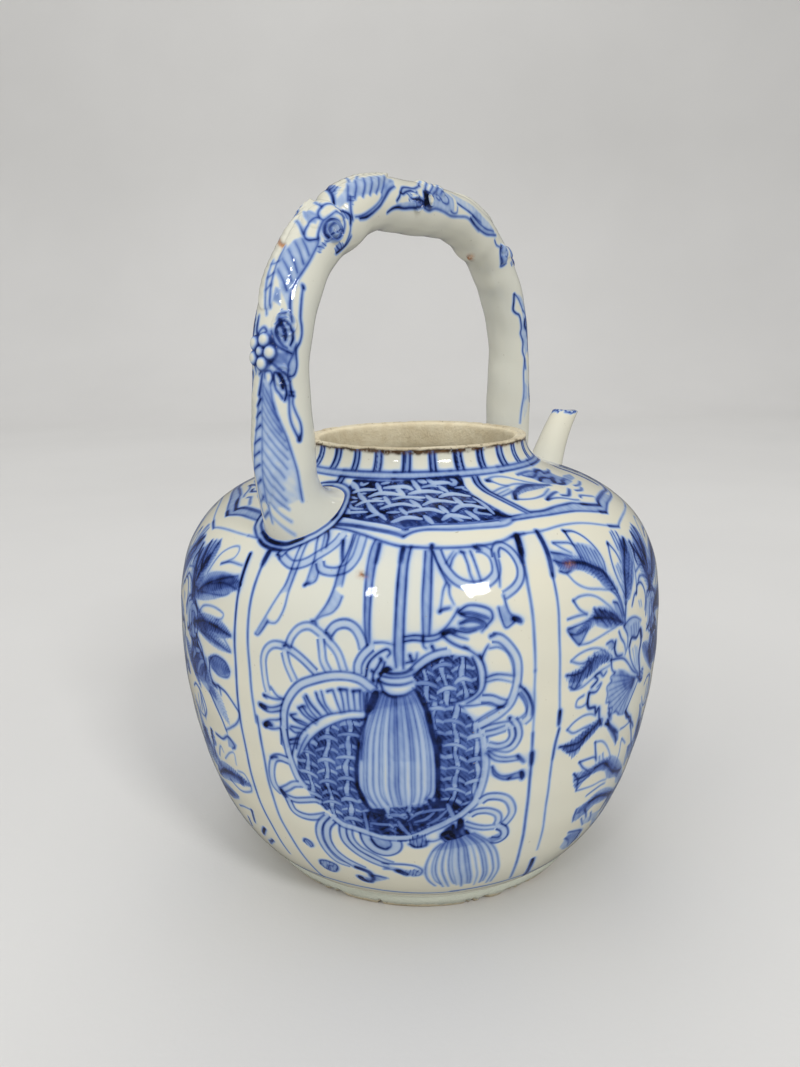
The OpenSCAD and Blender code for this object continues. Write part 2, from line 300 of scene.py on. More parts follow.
def weave(panel, upper, _, pts):
    """Basket weave in a closed shape: pale uprights, and pale strips that arch over and under
    them, in a ground of dark gaps.  No two cells are quite alike."""
    p = panel.mm(pts)
    win = panel.window(p, 0.5)
    m = panel.inside(p, win, 0.25)
    gx, gy = np.meshgrid(panel.x[win[1]] - p[:, 0].min(), panel.y[win[0]])
    pitch, row, lean = (4.3, 2.7, 0.05) if upper else (4.85, 2.85, -0.04)
    bend = 0.5 * np.sin(gy * 0.23 + gx * 0.1) + 0.28 * np.sin(gy * 0.9 + gx * 0.35)
    u = (gx + lean * (gy - 60) + bend) / pitch + 0.2
    col = np.floor(u + 0.5)
    du = (u - col) * pitch
    away = (2 * np.abs(du) / pitch) ** 2
    rise = gy + 0.7 * away + 0.16 * np.sin(col * 1.7) * du + 0.3 * np.sin(gx * 0.5)
    v = rise / row + 0.22 * np.sin(col * 2.3)
    line = np.floor(v + 0.5)
    band = np.abs(v - line) * row
    jitter = np.sin(col * 12.9 + line * 78.2) * 0.5 + 0.5
    second = np.sin(col * 39.3 + line * 11.1) * 0.5 + 0.5
    stroke = hatch((gx + gy * 0.8 + 0.5 * np.sin(gy * 0.7 + gx * 0.4)) / 1.3, 0.2, 0.18)
    ink = 0.52 + 0.16 * second + 0.28 * stroke * (0.4 + 0.6 * jitter)
    half = 0.36 + 0.16 * jitter - 0.1 * away
    ink = np.maximum(ink, 0.93 * edge(np.abs(band - half - 0.25), 0.1, 0.16))
    strip = edge(band, half, 0.16)
    ink = ink * (1 - strip) + (0.1 + 0.2 * second + 0.1 * away) * strip
    over = ((line + col) % 2 == 0) | (band > half + 0.15)
    post = 0.42 + 0.12 * np.sin(gy * 1.1 + col * 2)
    bar = edge(np.abs(du), post, 0.15) * over
    ink = np.maximum(ink, 0.97 * edge(np.abs(np.abs(du) - post - 0.28), 0.14, 0.14) * over)
    ink = ink * (1 - bar) + (0.07 + 0.2 * jitter) * bar
    panel.ink[win] = panel.ink[win] * (1 - m) + np.clip(ink, 0, 1) * m


def tassel(panel, sides, shift, strands, w, k, pale):
    """Strands that fall between two edges given from top to bottom, over a thin wash."""
    a, b = (np.array([(x + shift, y) for x, y in side]) for side in sides)

    def shape(upper, lower):
        """Closed shape between two lines."""
        return [tuple(q) for q in np.vstack([upper, lower[::-1]])]

    clear(panel, shape(a, b))
    wash(panel, pale * 0.3, shape(a, b))
    wash(panel, pale, shape(a * 0.6 + b * 0.4, a * 0.4 + b * 0.6))
    wash(panel, 0.14, shape(a[:2], b[:2]))
    for i in range(strands + 1):
        t = np.clip(i / strands + 0.22 / strands * math.sin(i * 2.1), 0, 1)
        line = a * (1 - t) + b * t
        line[-1, 1] += math.sin(i * 1.9)
        heavy = 1.25 if i in (0, strands) else 0.85 + 0.3 * math.sin(i * 4.7)
        dark = k * (0.95 + 0.14 * math.sin(i * 3.3))
        pen(panel, w * heavy, dark, [tuple(q) for q in line], steady=True)


BRUSHES = {"p": pen, "r": ribbon, "w": wipe, "v": weave, "l": leaf}


def paint(panel, table, shift=0.0, mirror=None, only=None, fine=1.0, wet=1.0):
    """Lays the strokes of a table.  mirror reflects y about zero ("y"), or x so that the
    value given falls on zero; only picks strokes by their points; fine narrows brush lines
    and wet strengthens washes."""
    for line in table.strip().splitlines():
        if line.startswith("#"):
            continue
        head, body = line.split(":")
        kind, *args = head.split()
        pts = [tuple(float(v) for v in c.split(",")) for c in body.split()]
        if only and not only(pts):
            continue
        if mirror == "y":
            pts = [(x, -y) for x, y in pts]
        elif mirror is not None:
            pts = [(mirror - x, y) for x, y in pts]
        pts = [(x + shift, y) for x, y in pts]
        if kind == "f":
            wash(panel, wet * float(args[0]), pts)
        elif kind == "g":
            ground(panel, float(args[0]), pts)
        elif kind == "c":
            clear(panel, pts)
        else:
            w = float(args[0]) * (fine if kind == "p" else 1.0)
            BRUSHES[kind](panel, w, float(args[1]), pts)


# ---------- the painting, as strokes ----------
# Each line is one stroke, "kind width ink : x,y x,y ...".  Its points were chosen one by one
# on an unrolled view of the photograph, and scaled to degrees and mm.  Kinds: p a brush
# line, r a ribbon, l a leaf along its midrib, w a line left white, v basket weave (its first
# number is 1 for the upper cloth and 0 for the lower, its second isn't used), and, with ink
# alone or nothing, f a wash, g a dense ground and c a shape wiped clean.  On the pot x is
# degrees from the left of a 60-degree panel and y is mm of wall from the foot's edge up.  On
# the handle x is mm along the branch and y is degrees round it from its outer side.

# gourd in basket weave, under the lines of the tied emblem
EMBLEM_GROUND = """
v 0 0 : 10.9,62 12.6,65 15.1,67.8 17.9,70 20.4,71.3 24,72 33,76 39.2,76.3 41.7,75 44,71 45.7,67.3 \
46.5,62 46.1,56 45.4,52.7 44,50 41.7,46.5 38.1,44 33.3,41.5 28.8,40.5 22.7,41.5 19.9,42.7 16.8,44.7 \
14,46.3 11.7,48.7 10,52 8.6,55 9.2,59.7
v 1 0 : 33,82 34.4,84 37.2,85.7 39.5,86.3 42.9,85.7 44,84 44.8,80.7 44.7,78.3 43.7,77 41.7,76 39.2,75 \
36.5,76.2 34.2,76.5 33.2,79
"""

# the emblem: gourd, ribbons, cords, loops and tails
EMBLEM = """
# top-left loops and forked tails
r 1.7 .45 : 2.7,106.2 4.4,104.9 6.4,104 8.4,104.3 10.3,105.3 12.3,107.2 14,108.8 15.4,110.8 16.1,113
r 1.4 .4 : 2.5,105.7 3.6,107.7 4.7,109.3 5.7,111 6.4,112.7
p 1.2 .9 : 1.8,105.8 2.5,105.5 2.9,105
p .6 .7 : 6.7,112.3 6.8,109 6.8,103 6.5,99.7 5.7,97.7 4.8,95.7 3,92 0.6,87.5
p .6 .7 : 8.1,112.3 8.1,107.3 8.1,103 7.5,98 7.2,94.7 6.4,92.3 5.3,90.7 3.5,90.5
p .7 .75 : 3.4,90.7 2.6,89.2 1.3,87.3 0.5,87.3
f .22 : 6.8,103 8.1,103 7.5,98 5.8,97.3
f .25 : 3,91.7 3.9,90.7 1.3,87.5 0.8,87.5
p 1.3 .85 : 5.7,112 6.4,111.7 7.1,111
p .6 .7 : 9.6,113.8 10.6,109.7 11.4,106.3 11.3,103 11,99.7
p .6 .65 : 11.2,113.8 12,110.7 12.4,108
p 1 .9 : 11.7,113.8 12.7,112 13.2,109
p .6 .7 : 13,104.7 13.2,102.7 12.9,100.8 11,99.8
p 1 .85 : 10.7,99.7 11.2,100.2 11.7,100.3
f .22 : 11.4,106 12.9,106 13,101 11.2,100
p 1.3 .95 : 16.7,111.2 17.3,108.5 17.9,106
r 1.6 .45 : 12.9,105.3 13.7,103.8 15.4,103.3 17.3,103.5 19.3,104.5 20.6,106.7 21,109.3 21.1,113
p .7 .8 : 18.7,113 18.8,110 18.4,107 17.7,104.7 17.5,102.7 17.2,99.7 16.2,96.3 14.3,93
p .6 .7 : 19.3,113 19.2,109.7 18.8,105 18.9,102.7 18.8,100.3
p .6 .7 : 19.1,98 18.5,96 17.3,94.5 15.4,93.6 14,92.5
f .25 : 17.6,104.3 18.8,104.3 18.9,100.7 17.2,99.7
f .22 : 17.2,99.7 19,98.3 18.2,95.7 15.4,93.7 14.3,93 16.2,96.3
p 1.1 .8 : 13.4,92.3 14,92.3 14.4,91.7
# cord one
p .8 .75 : 24.2,111.7 23.7,109 23.5,104 23.7,97.3 24,91.3 24.4,88.3
p .8 .8 : 25.4,110.8 25.2,107.3 24.9,102.3 24.8,94 24.9,88.3
p 1.4 .9 : 25.4,110.7 25.3,108 25.1,106
f .3 : 24.2,111.5 25.4,110.8 24.9,102.3 24.9,88.7 24.2,88.7 23.5,100.7
# loops left
r 1.35 .42 : 14.4,81.2 12,83.5 9.5,85.2 7.2,86 5,85.8 3.4,84.3 2.6,82 2.6,79 2.9,76.3 3.4,74.5
p .7 .75 : 2.3,73.5 4.4,73.1 7.1,73.5
p .6 .7 : 4.1,75.7 5.6,74 7,73.7
p 1.1 .85 : 2.2,73.2 2.9,72.9
r 1.35 .42 : 8.5,86.3 9.3,88.5 10.9,90.5 12.9,91.2 14.8,90.3 16.9,88.5 18.9,86 20.1,82.2
r 1.35 .42 : 15.4,88.8 15.7,86.3 16,84 17,81.8
r 1.45 .42 : 7.7,84.7 8.4,81.7 9.8,78.4
p 1.2 .85 : 7.5,86 8.2,86.3 8.9,85.8
r 1.6 .5 : 16.9,90 18.2,91.8 20.2,92.5 22,91.7 23.2,89.7 23.8,87.3
p 1.2 .85 : 16.4,90.2 16.9,89.8 17.5,89
r 1.5 .5 : 25.2,87.8 23.7,86 22.8,84 22.7,81.8
# knot above the tassel
p .9 .9 : 24.2,81.5 24.7,84.3 26.2,86.3 28,87.5 28.7,86.8 28.2,85.9
p .9 .85 : 27.1,85.3 26.3,83.5 25.6,82.2 25.5,80.2
p .7 .8 : 27.7,84.7 27.1,82 26.3,80.2 26,78.5
p 1.7 1 : 27.7,83 28.3,83.4 29,82.8
p 1.2 .95 : 26.8,82.2 27.2,82.5
p 1.1 .9 : 25.3,82.8 25.6,82.5
p 1.1 .9 : 25.5,80.7 25.8,80.5
p 1 .85 : 26.9,85.5 27.2,84.9
p .6 .7 : 25.8,88.8 27.5,88.9 29.4,88.5
p .7 .8 : 26.6,81 28.3,80.3 30,80.7
# tails at the left edge
p .7 .75 : 7,72.5 5.6,71.5 3.6,70.7 1.6,70.8
p .7 .75 : 7,71 5.3,70.2 3.3,69.5 1.6,69.8
p 2.1 1 : 1.1,70.6 1.9,70.4 2.5,70.2
p .7 .7 : 6.4,68.7 5,68 3.3,67.5 2.2,66.7
p .7 .7 : 6.4,66.5 5.3,66 3.6,65.3 2,65.3
p 2.2 .95 : 1.8,65.8 2.7,66.4 3.5,66.3
# gourd rim
r 1.6 .5 : 6.4,61.7 6.7,66.7 7.1,71 8.6,74.7 10.9,77.7 14,79.5 17.3,80.8 20.4,81.2 23,80.7 24.9,79.2 \
25.9,78.2
# radial loops
p 1.1 .82 : 12.2,75.5 13.1,73.8 15.1,71.5
p .8 .7 : 11.7,75 12.9,72.3 14.3,70.7
p 1 .82 : 14.3,76.5 14.9,74.7 16.6,72.2
p .8 .7 : 15.4,77 16.1,74.3 17.3,72.5
p .9 .8 : 16.6,77.2 17.6,77.7
p .8 .72 : 17.8,77.5 18.5,75 19.3,72.7
p 1.2 .88 : 19,78 20.4,78.1
p .8 .75 : 19.2,78 19.7,75.3 19.9,73
p .8 .75 : 20.5,78 20.7,75.3 20.9,73.5
p 1.2 .88 : 21.7,77.9 23.1,78.2
p .8 .75 : 21.7,77.8 21.9,75.3 22,73.7
p .8 .75 : 23,78 23,75.7 23.1,73.8
p 1.4 .9 : 24.4,77.7 24.2,75.7 24.1,73.5
p .8 .72 : 23.7,77.7 23.7,75.3 23.7,73.7
p .9 .78 : 10.5,72.3 11.7,73 12,72.7
p .9 .78 : 10.5,72.2 11.7,70.7 14,69.2
p .9 .78 : 11.3,72.8 12.6,71 14.3,70
p .9 .78 : 8.6,70.2 9.8,70.7
p .9 .78 : 8.5,70 10,68.7 12.3,68.2
p .9 .76 : 9.2,69.3 10.6,69.2 12,68.8
p .9 .76 : 8.4,67.3 10,67.3 11.6,67.2
p .9 .76 : 8.1,66.7 9.2,66 10.6,66.3
p 1.2 .85 : 7.9,63.8 8.9,64.3 9.9,64.7
p .8 .7 : 7.8,62.7 8.9,63.2 9.8,63.3
# inner arc band
p .8 .78 : 9.2,62 10,65 11.7,67.7 14,70 16.5,71.8 19.3,72.8 21.3,73.4 23.1,73.5
p .7 .74 : 10.9,62 12.6,65 15.1,67.8 17.9,70 20.4,71.3 23.8,71.9
p .8 .78 : 7.9,60 9.2,64 10,66
p .7 .72 : 9.2,59.7 10.6,63.3 12,66
# gourd rim going down
r 1.5 .45 : 6.5,66.3 7,62 7.5,58 8.7,53.7 10,52
# lower-left loops
r 1.5 .45 : 6.8,58 4.7,58.2 3,57.2 2,54.7 1.6,51.7 2,49.3 3.4,48
p 1.2 .85 : 2.3,57.3 3,57.8 3.9,58.1
r 1.3 .45 : 3.6,48.7 5.6,50.3 7.2,51.7 8.9,52.3
r 1.2 .45 : 4.1,47.3 6.7,47 9.2,47.8 11.7,48.7 12.9,48.5
p 2.2 .95 : 3.5,48.7 4.1,47.5 4.9,46
r 1.4 .5 : 4.9,46.3 5.6,43.7 7.2,42.7 9.5,42.7 11.7,43.5 14,44.7
# trailing ribbons
r 1.4 .45 : 14,44.2 12.3,42 11.3,39.3 11,36 11.6,32.7 12.9,30 14.5,28.5 16.8,28
r 1.6 .5 : 15.4,43.8 13.7,41.3 13,38.3 13,35.3 14,32.3 16.2,29.8 18.5,28.3 20.4,27.2
r 1.7 .5 : 17.6,43 17.2,40 17.5,37.3 18.8,35 20.7,33 23,31.3 25.8,30 28.3,29.5 30.6,29.5
r 1.3 .45 : 19,43 18.6,40.3 19,37.7 20.4,35.3 22.7,33.5 25.2,31.8 27.5,30.7
p 2.6 1 : 20.4,26.7 21.4,25.5 21.7,24
p 2.2 .7 : 22.4,24.7 23.8,24 25.1,23.9
p 1.6 .75 : 21.4,23.7 21.3,21.7 20.7,20.7
p 2.6 .95 : 18.5,22.7 19.3,21.7 19.6,21
f .45 : 20.7,26 25.2,24.7 24.9,23 22.1,21.7 20.7,20 19.9,20.7
# comma marks
f .45 : 5.8,33.3 6.8,34.3 7.9,34 8.1,32.3 7.1,31.5 6.1,32.2
p .8 .75 : 5.8,33 6.3,34.1 7.2,34.3 8.1,33.5 8.1,32.3 7.2,31.6
f .4 : 7.9,25 8.6,26.7 10.6,27.7 12.9,26.7 12.9,24.7 11.2,22.7 8.9,23
p .9 .75 : 8.1,24.7 8.6,26.7 10.6,27.5 12.9,26.7 12.8,24.7 11.3,22.7 9.2,23 8.1,24.7
p .8 .7 : 9.8,23.3 10.6,25.3 11.4,25.5
# lower loop right
r 2.2 .6 : 22.1,41.3 22.3,39 23,37 24.4,35.5 26.3,35 28,36 28.7,37.7 28.4,39.7
p 1.2 .8 : 23.4,39 24.4,37 26.1,36 26.9,36.7
f .3 : 23.7,39.3 27.2,39.7 27.5,37 25.8,36.2 24.1,37.3
# gourd bottom rim
r 1.6 .4 : 15.7,44.3 17.6,42.7 19.9,42.2 22.7,41.3 26.1,40.3 28.6,40.2 30.8,40.3
r 1.6 .4 : 28.8,40.2 31.1,40.5 33.3,41.3 35.8,43 38.1,44.3 40,45.7 41.7,46.8 43.4,48.7 44.7,50.3 \
45.4,52.7 46.1,56 46.4,60 46.1,64 45.8,66.7
# knot blob
f .6 : 31.5,39.7 32.5,41.3 34.7,41.5 35.3,39.3 35,37.7 33,37 31.8,37.7
p 1.2 .75 : 31.6,38.3 32.7,37.3 34.7,37.7 35.4,39.3
p .7 .6 : 35,39.3 36.7,39.3 38.1,40
# right loops
r 1.5 .45 : 45.9,50.3 47.3,51.3 49.6,51 51.6,49.7 52.8,47.3 53,45 51.8,42.7 50.2,41.8
r 1.3 .45 : 44,46.7 45.4,47.5 47.6,47.3 49.6,46 50.2,44.3 49.9,42.7
r 1.1 .4 : 42.9,44.3 45.1,43 47.3,42.2 49.6,42
r 1.6 .6 : 50.4,42 51.7,40.7 52,38.7 50.7,37.5 48.8,38
f .35 : 48.5,38.7 50.7,39.7 51.6,37.7 49.3,37
# right tails
p .7 .75 : 46.5,63 48.2,61 50.4,60.2 53,60
p .6 .7 : 46.8,63.7 48.5,62 50.7,61.2 53,61.2
p 1.6 .8 : 53,61 53.8,60 54.4,59.2
p .8 .78 : 47.8,59.3 48.2,57.3 49.9,55.7 51.8,55.2 54.1,55.2
p .7 .72 : 47.8,59.3 49,57.2 50.7,56.3 53.8,56.7
p 2 1 : 54.1,56.5 54.4,55.7 54.4,54.8
p 1.2 .85 : 51.4,55.5 52,55.8
f .25 : 47.9,59 49.9,56.3 53.8,56.5 54.2,55.2 51.3,55.2 48.5,56.7
# small tassel cap
f .85 : 37.8,40.7 38.9,43 40.3,44.3 41.2,43 41.6,45.3 42.6,45.3 42.9,43 44,41 42.9,40.3 41.2,39.3 \
39.5,39.3
p 2.2 1 : 42,45.3 42.1,43.3
p 1.4 1 : 40.6,44 40.7,41.3
p 1.6 .95 : 38.4,41.3 40,42 40.9,40.7
p 1.2 .9 : 43.4,42 44.1,40.7
p .9 .7 : 38.1,40.3 39.5,38.7 41.7,38 44,39 44.7,40.3
# cords two and three
p 1 .85 : 30.6,109.8 30.2,105.7 29.9,100.7 29.7,94 29.5,87.3 29.8,83.7
p .9 .8 : 32.5,110 31.8,105.7 31.5,100 31.2,92.3 31.1,85.7 31.1,83.2
p 1.6 .95 : 30.8,109.7 30.6,108.3 30.4,106.3
f .22 : 30.8,109.7 32.3,109.8 31.3,97.3 31.1,84 29.8,84 29.9,100.7
p .8 .78 : 35.6,108.7 35.2,104 34.8,99 34.7,94 34.8,89.3
p .9 .82 : 37.2,110.3 36.8,105.7 36.4,99 36.1,94 35.9,90.7
p 1.5 .9 : 37.1,110.3 37,109
f .25 : 35.6,108.7 37.1,109.8 36.4,99 35.9,90.7 34.8,90.7 34.9,99.7
# top right loops
p .9 .85 : 37.4,109 37.8,107 38.6,104 39.5,101.7 40,100.7
r 1.6 .5 : 38.1,109 38.8,106.3 39.8,104 41.2,102 42.9,100.8 44.8,100.3 46.8,100.4 48.5,101.2 49.9,102.7 \
50.3,105 49.9,107 48.5,108.5 46.8,109
p 1.6 .95 : 46.6,109.3 47.6,108.5
p .7 .72 : 40.6,105 41.3,106.7 42.3,108
p .6 .66 : 39.8,105.7 40.6,107 41.7,108.5
p .7 .75 : 43.8,108 44.3,105.3 44.5,103 45.1,100.8
p .7 .75 : 45.4,108.3 45.8,106 46.2,103.3 46.5,101.2
p 1.2 .85 : 43.3,108.3 44,108
r 1.4 .5 : 50.7,106.3 51,108 52.1,109.3 53.2,109 54.4,107.7 55.2,105.7 55.5,103.3 54.9,101 53.5,99.3 \
51.8,98.2 50.7,97.7
p .8 .75 : 50.5,107.3 50.5,104.7 50.4,101.7 50.2,99.7
p .6 .7 : 39.5,101.3 38.8,99.7 38.4,97.7 38,95.3
p .6 .7 : 40,100.7 40,98.7 40.7,96.7
p 1.2 .85 : 37.9,95.3 38.5,95.7 39.8,96
p .7 .75 : 50.7,97.7 50.9,95.7 51.4,94 52.4,93
p .8 .75 : 49.3,95.3 49.7,93 50.4,91 51.8,91.7 52.5,92.3
p 2 .95 : 52,92.7 52.8,92.5 53.5,91.9
f .25 : 49.6,95.3 50.9,96 51.3,94 52.4,92.7 50.4,91.2
# leaf above the knot
p .9 .75 : 41.6,95.3 43.4,96.3 45.7,96 47.6,95 47.9,93.3 46.8,92 45.7,90.7
p .9 .75 : 41.4,95 42.9,94 44.5,93.7 46.2,92.7 46.6,91.7
p 1.4 .7 : 42,94.7 43.7,94.7 45.7,94 47.1,93.3
p 1.5 .65 : 41.7,92.7 43.4,93.2 45.4,92.7 45.7,91.7 43.4,91.3 41.7,91.7
p .7 .75 : 31.3,90.2 33.3,90.5 35.6,90.3 37.5,90.7 39.2,92.3 40.6,94.3 41.4,95.7
p .8 .8 : 31.3,89.2 33,89.5 35.3,89.2 37.2,89.5 38.4,90.3 39.5,91.3
p 2 .85 : 38.4,90.7 39.8,91.3 40.6,91
p 1 .75 : 38.6,90 40,88.7 41.7,87.7 42.9,87.3
p .9 .7 : 39.5,91 41.2,90 42.9,89.3
p .8 .75 : 40.6,91.3 42.9,90.7 44.5,91
p 1.2 .9 : 36.3,88.2 36.7,87.3
p 1.2 .8 : 32.3,86.3 32.7,85
p .9 .75 : 34.7,90 34.8,88.3 35.3,87.7
p .8 .7 : 31.6,84.7 33.3,85.3 33.6,86.7
# loops right of the upper lobe
r 1.6 .42 : 47.6,89.2 49.3,88.7 51,86.7 52.3,84 52.5,80.7 52.1,77.3 51,74.3 49,72.3 46.8,71 45.1,70
p 1.2 .8 : 47.3,89.5 48.2,89.8
p .8 .75 : 45.4,85 46.2,86.7 46.8,87.7
p .6 .6 : 47.1,87 48.8,87 50.4,85.7 51.3,83.3 51.7,80.7
p .8 .72 : 46.2,80.7 48.2,81.2 50.2,80.8 51.7,80.3
p .6 .62 : 46.2,79.7 48.5,80 51.3,79
r 1.5 .5 : 45.4,76 47.3,75.7 49,74.7 50.2,74.2
p 1 .8 : 48.5,73.5 49.9,74 50.3,74.7
p .6 .65 : 42,74.7 44,74.7 46.2,74.7 48.8,73.7
p .6 .65 : 44.3,71 46.2,72.3 48.5,73.5
r 1.5 .42 : 53.2,76.7 54.4,74.7 55.1,72.3 54.9,70.3 53.8,69.3
p .9 .8 : 53,77.8 53.7,77 54.7,75.3 55.5,72.7 55.5,70.7
p .6 .6 : 53.2,76.3 54.4,74 54.5,72 53.5,70.7 51.3,69.7
r 1.5 .45 : 45.4,68.3 47.3,69 49.3,69.2 51,69.2
p 1.6 .85 : 50.9,70.8 51.6,70
r 1.2 .42 : 46.2,67.7 48.2,68 50.2,68.5
r 1.3 .42 : 51.7,70.3 52.7,68.3 53,66 52.1,64 50.7,63.3 48.5,64 46.8,64.3
r 1.2 .45 : 51.4,68.3 51.6,66.3 50.7,64.7 48.8,64.3 46.8,65
# upper lobe rim
r 1.6 .5 : 32.4,82 33.6,83.7 35.3,85.3 37.2,86.3 39.2,86.7
p .8 .75 : 32.3,81.5 33.9,83 35.8,84.5 38.1,85.7
p .9 .78 : 43.7,85.3 44.4,83.3 44.8,80.7 44.7,78.3 43.7,77 41.7,76 39.8,75.7
p .9 .78 : 45.1,85.7 45.9,83.3 46.2,80.7 45.7,78 44.3,76.3 42.6,75.3
p .8 .7 : 42.3,87.7 44,86.3 45.4,85
"""

# collar of the big tassel, dark gaps beside it, ragged weave below it, panel edges
EMBLEM_OVER = """
c : 26.6,80.7 27.7,82.5 29.7,83.2 32.6,83.2 32.9,80.7 32.9,78.3 31.1,77.5 28.8,77.3 27.3,77.8
p 1.1 .85 : 27.5,82.8 29.1,82.3 31.1,82.5 32.7,83.3
p .8 .7 : 27.1,81.7 29.1,81.4 31.3,81.6 32.9,82.2
p .9 .8 : 26.5,80.7 28.2,79.9 30.8,79.9 32.7,80.6
p 1 .85 : 27.3,78.2 28.8,77.3 31.1,77.5 32.9,78.7
p .9 .8 : 26.6,80.7 27.1,79.3 27.3,78.1
# dark corners beside the tassel
p 2.6 1 : 26,77.8 25.4,76 24.7,74
p 1.1 .8 : 26,77.7 24.6,74.3 23.8,70.7 23.1,66 22.8,62
f .97 : 32.7,79.3 34.1,78.2 35.3,76.3 35.7,74 36.2,70 37.2,64.7 36.8,64.7 35.6,69 34.7,74 33.7,77
p 1.5 .98 : 35.7,73.7 36.4,68 37,64 37.2,62
f .9 : 36.7,69.7 38.1,67.3 37.9,64 37.1,65
p 1.3 .92 : 22.5,66 21.8,60 21.6,55 22.3,52 23,50 23.7,48.7
f .85 : 21.4,60.3 22,60 21.8,55 23.4,51 23.7,48.7 22.4,50 21.4,54.3
p 1.7 .97 : 37,66.7 37.2,62 37.3,56.7 37.3,52.7 37.2,50.3
f .9 : 36.8,66 37.9,65.7 37.2,64 36.8,63.3
# ragged weave under the tassel
f .8 : 25.4,48 26.6,46.3 27.7,46 29.7,47 31.3,46 32.7,47.3 33,49.3 35.3,50.3 37.2,51.7 40.6,51.3 \
41.7,49.3 40,47.3 37.2,45.3 34.4,44 31.6,42 30.2,41.3 27.7,44.7 25.4,44.7
w 1 .3 : 26.3,45.3 27.7,47 29.4,47.3 30.8,46.3
w .8 .35 : 27.1,43.3 29.1,44.3 30.2,42.7
w .8 .3 : 31.3,45.7 32.5,47.3 34.4,48.7
w .8 .35 : 32.7,45.3 35,46.3 36.7,48.3
w .9 .3 : 29.4,45.3 30.5,43 31.6,41.3
w .7 .4 : 35.3,44.7 37.2,46 39.2,48.7
w .8 .35 : 33,47.8 35.8,48.7 38.6,49
w 1 .25 : 39.2,50.3 40,48 40.6,46.3
p 1 .95 : 31.2,48.3 31.6,47 31.3,46
p 1.6 .95 : 35.6,51.7 36.4,50.3 37.2,50
p 1.6 .9 : 26,42.7 27.1,43.3 28,42.3 27.1,41.3
p 1.2 .9 : 26.3,48.3 26.6,47
w 1 .3 : 24.1,44.7 25.8,46 27.2,47.3
w .9 .35 : 25.2,41.3 27.2,42.7 29.1,42
p 1.4 .95 : 26.3,48 26.1,46.3 25.2,44.7
p 1.3 .9 : 29.1,42.7 29.7,41.7
f .75 : 23.8,48.7 25.8,49 27.2,46.3 26.9,44 28,42 25.8,40.7 23,41.7 22.1,44.7
w .8 .3 : 22.4,47.3 22.7,44.3 22.8,41.7
w .8 .35 : 23.7,44.3 25.5,44.2 27.7,44.3
# lines at the edges of the panel
p 1 .66 : -0.8,106 -1.2,99.7 -1.6,90 -1.3,80.7 -1.1,74 -0.6,65.7
p 2 .95 : -0.7,106.2 -1,103
p 1 .62 : -0.2,67.3 0.1,62.7 0.2,56 0.2,50 0.4,44.7 0.9,38.7 2.2,32.3 3.4,26 4.7,19.3 5.3,16
p 1 .62 : 57.7,111.5 57,107.3 56.2,100 56.1,90.7 56.1,80.7
p .8 .42 : 56.1,80.7 56,70.7 56,62
p 2 .9 : 57.7,111.3 57.1,107.7 56.8,106.3
p 1 .5 : 56,66 56,60.7
p 1 .68 : 56.1,61 56.3,50 56.9,36 57.7,24.3 58.6,18
p 1.8 .85 : 56.1,61 56.1,58.3
f .12 : 29.1,77 32.7,77 33.4,70.7 33.2,62 28.9,62 28.8,70.7
# dark-tipped loops at the ends of the ribbon tails
c : 17.3,28.3 21.3,27.7 25.8,25.3 25.8,22.7 22.4,19.7 19.6,19.3 17.6,21.3 17.3,24.3
p 2 .85 : 18.2,27.5 19.9,26.9 21.3,26 21.8,24.3
p 1.6 .7 : 21.7,24.3 21.9,22.7 20.9,20.9
p 2.4 .95 : 18.4,23 18.9,21.8 19.9,21
f .35 : 19.9,23.3 22.1,23 21.4,20.3 19.9,20.5
f .3 : 21.8,25.2 25.4,24.7 25.2,23.3 22.7,21.8 21.7,22.7
p 1 .55 : 22,24.9 23.7,24.7 25.4,24.1
c : 26.6,31 30.2,31.2 33.3,30.5 34.7,28.3 34,26 31.6,25.4 29.4,26.3 27.7,28 26.6,28.2
p .9 .6 : 25.2,30.7 27.7,30.7 30.2,30.7 32.5,30.2 33.9,29 34.1,27.7 33.3,26.3 31.9,25.9
p 2.3 .97 : 28.4,28 29.5,27.3 30.4,26.5
f .45 : 30.2,28.2 32.7,29 33.9,27.7 32.7,26.1 30.6,26.3
p .8 .5 : 25.2,28.3 26.8,28.4 28.5,28
f .25 : 25.2,29.8 27.7,29.5 30.2,28.3 28.5,28 25.2,28.4
"""

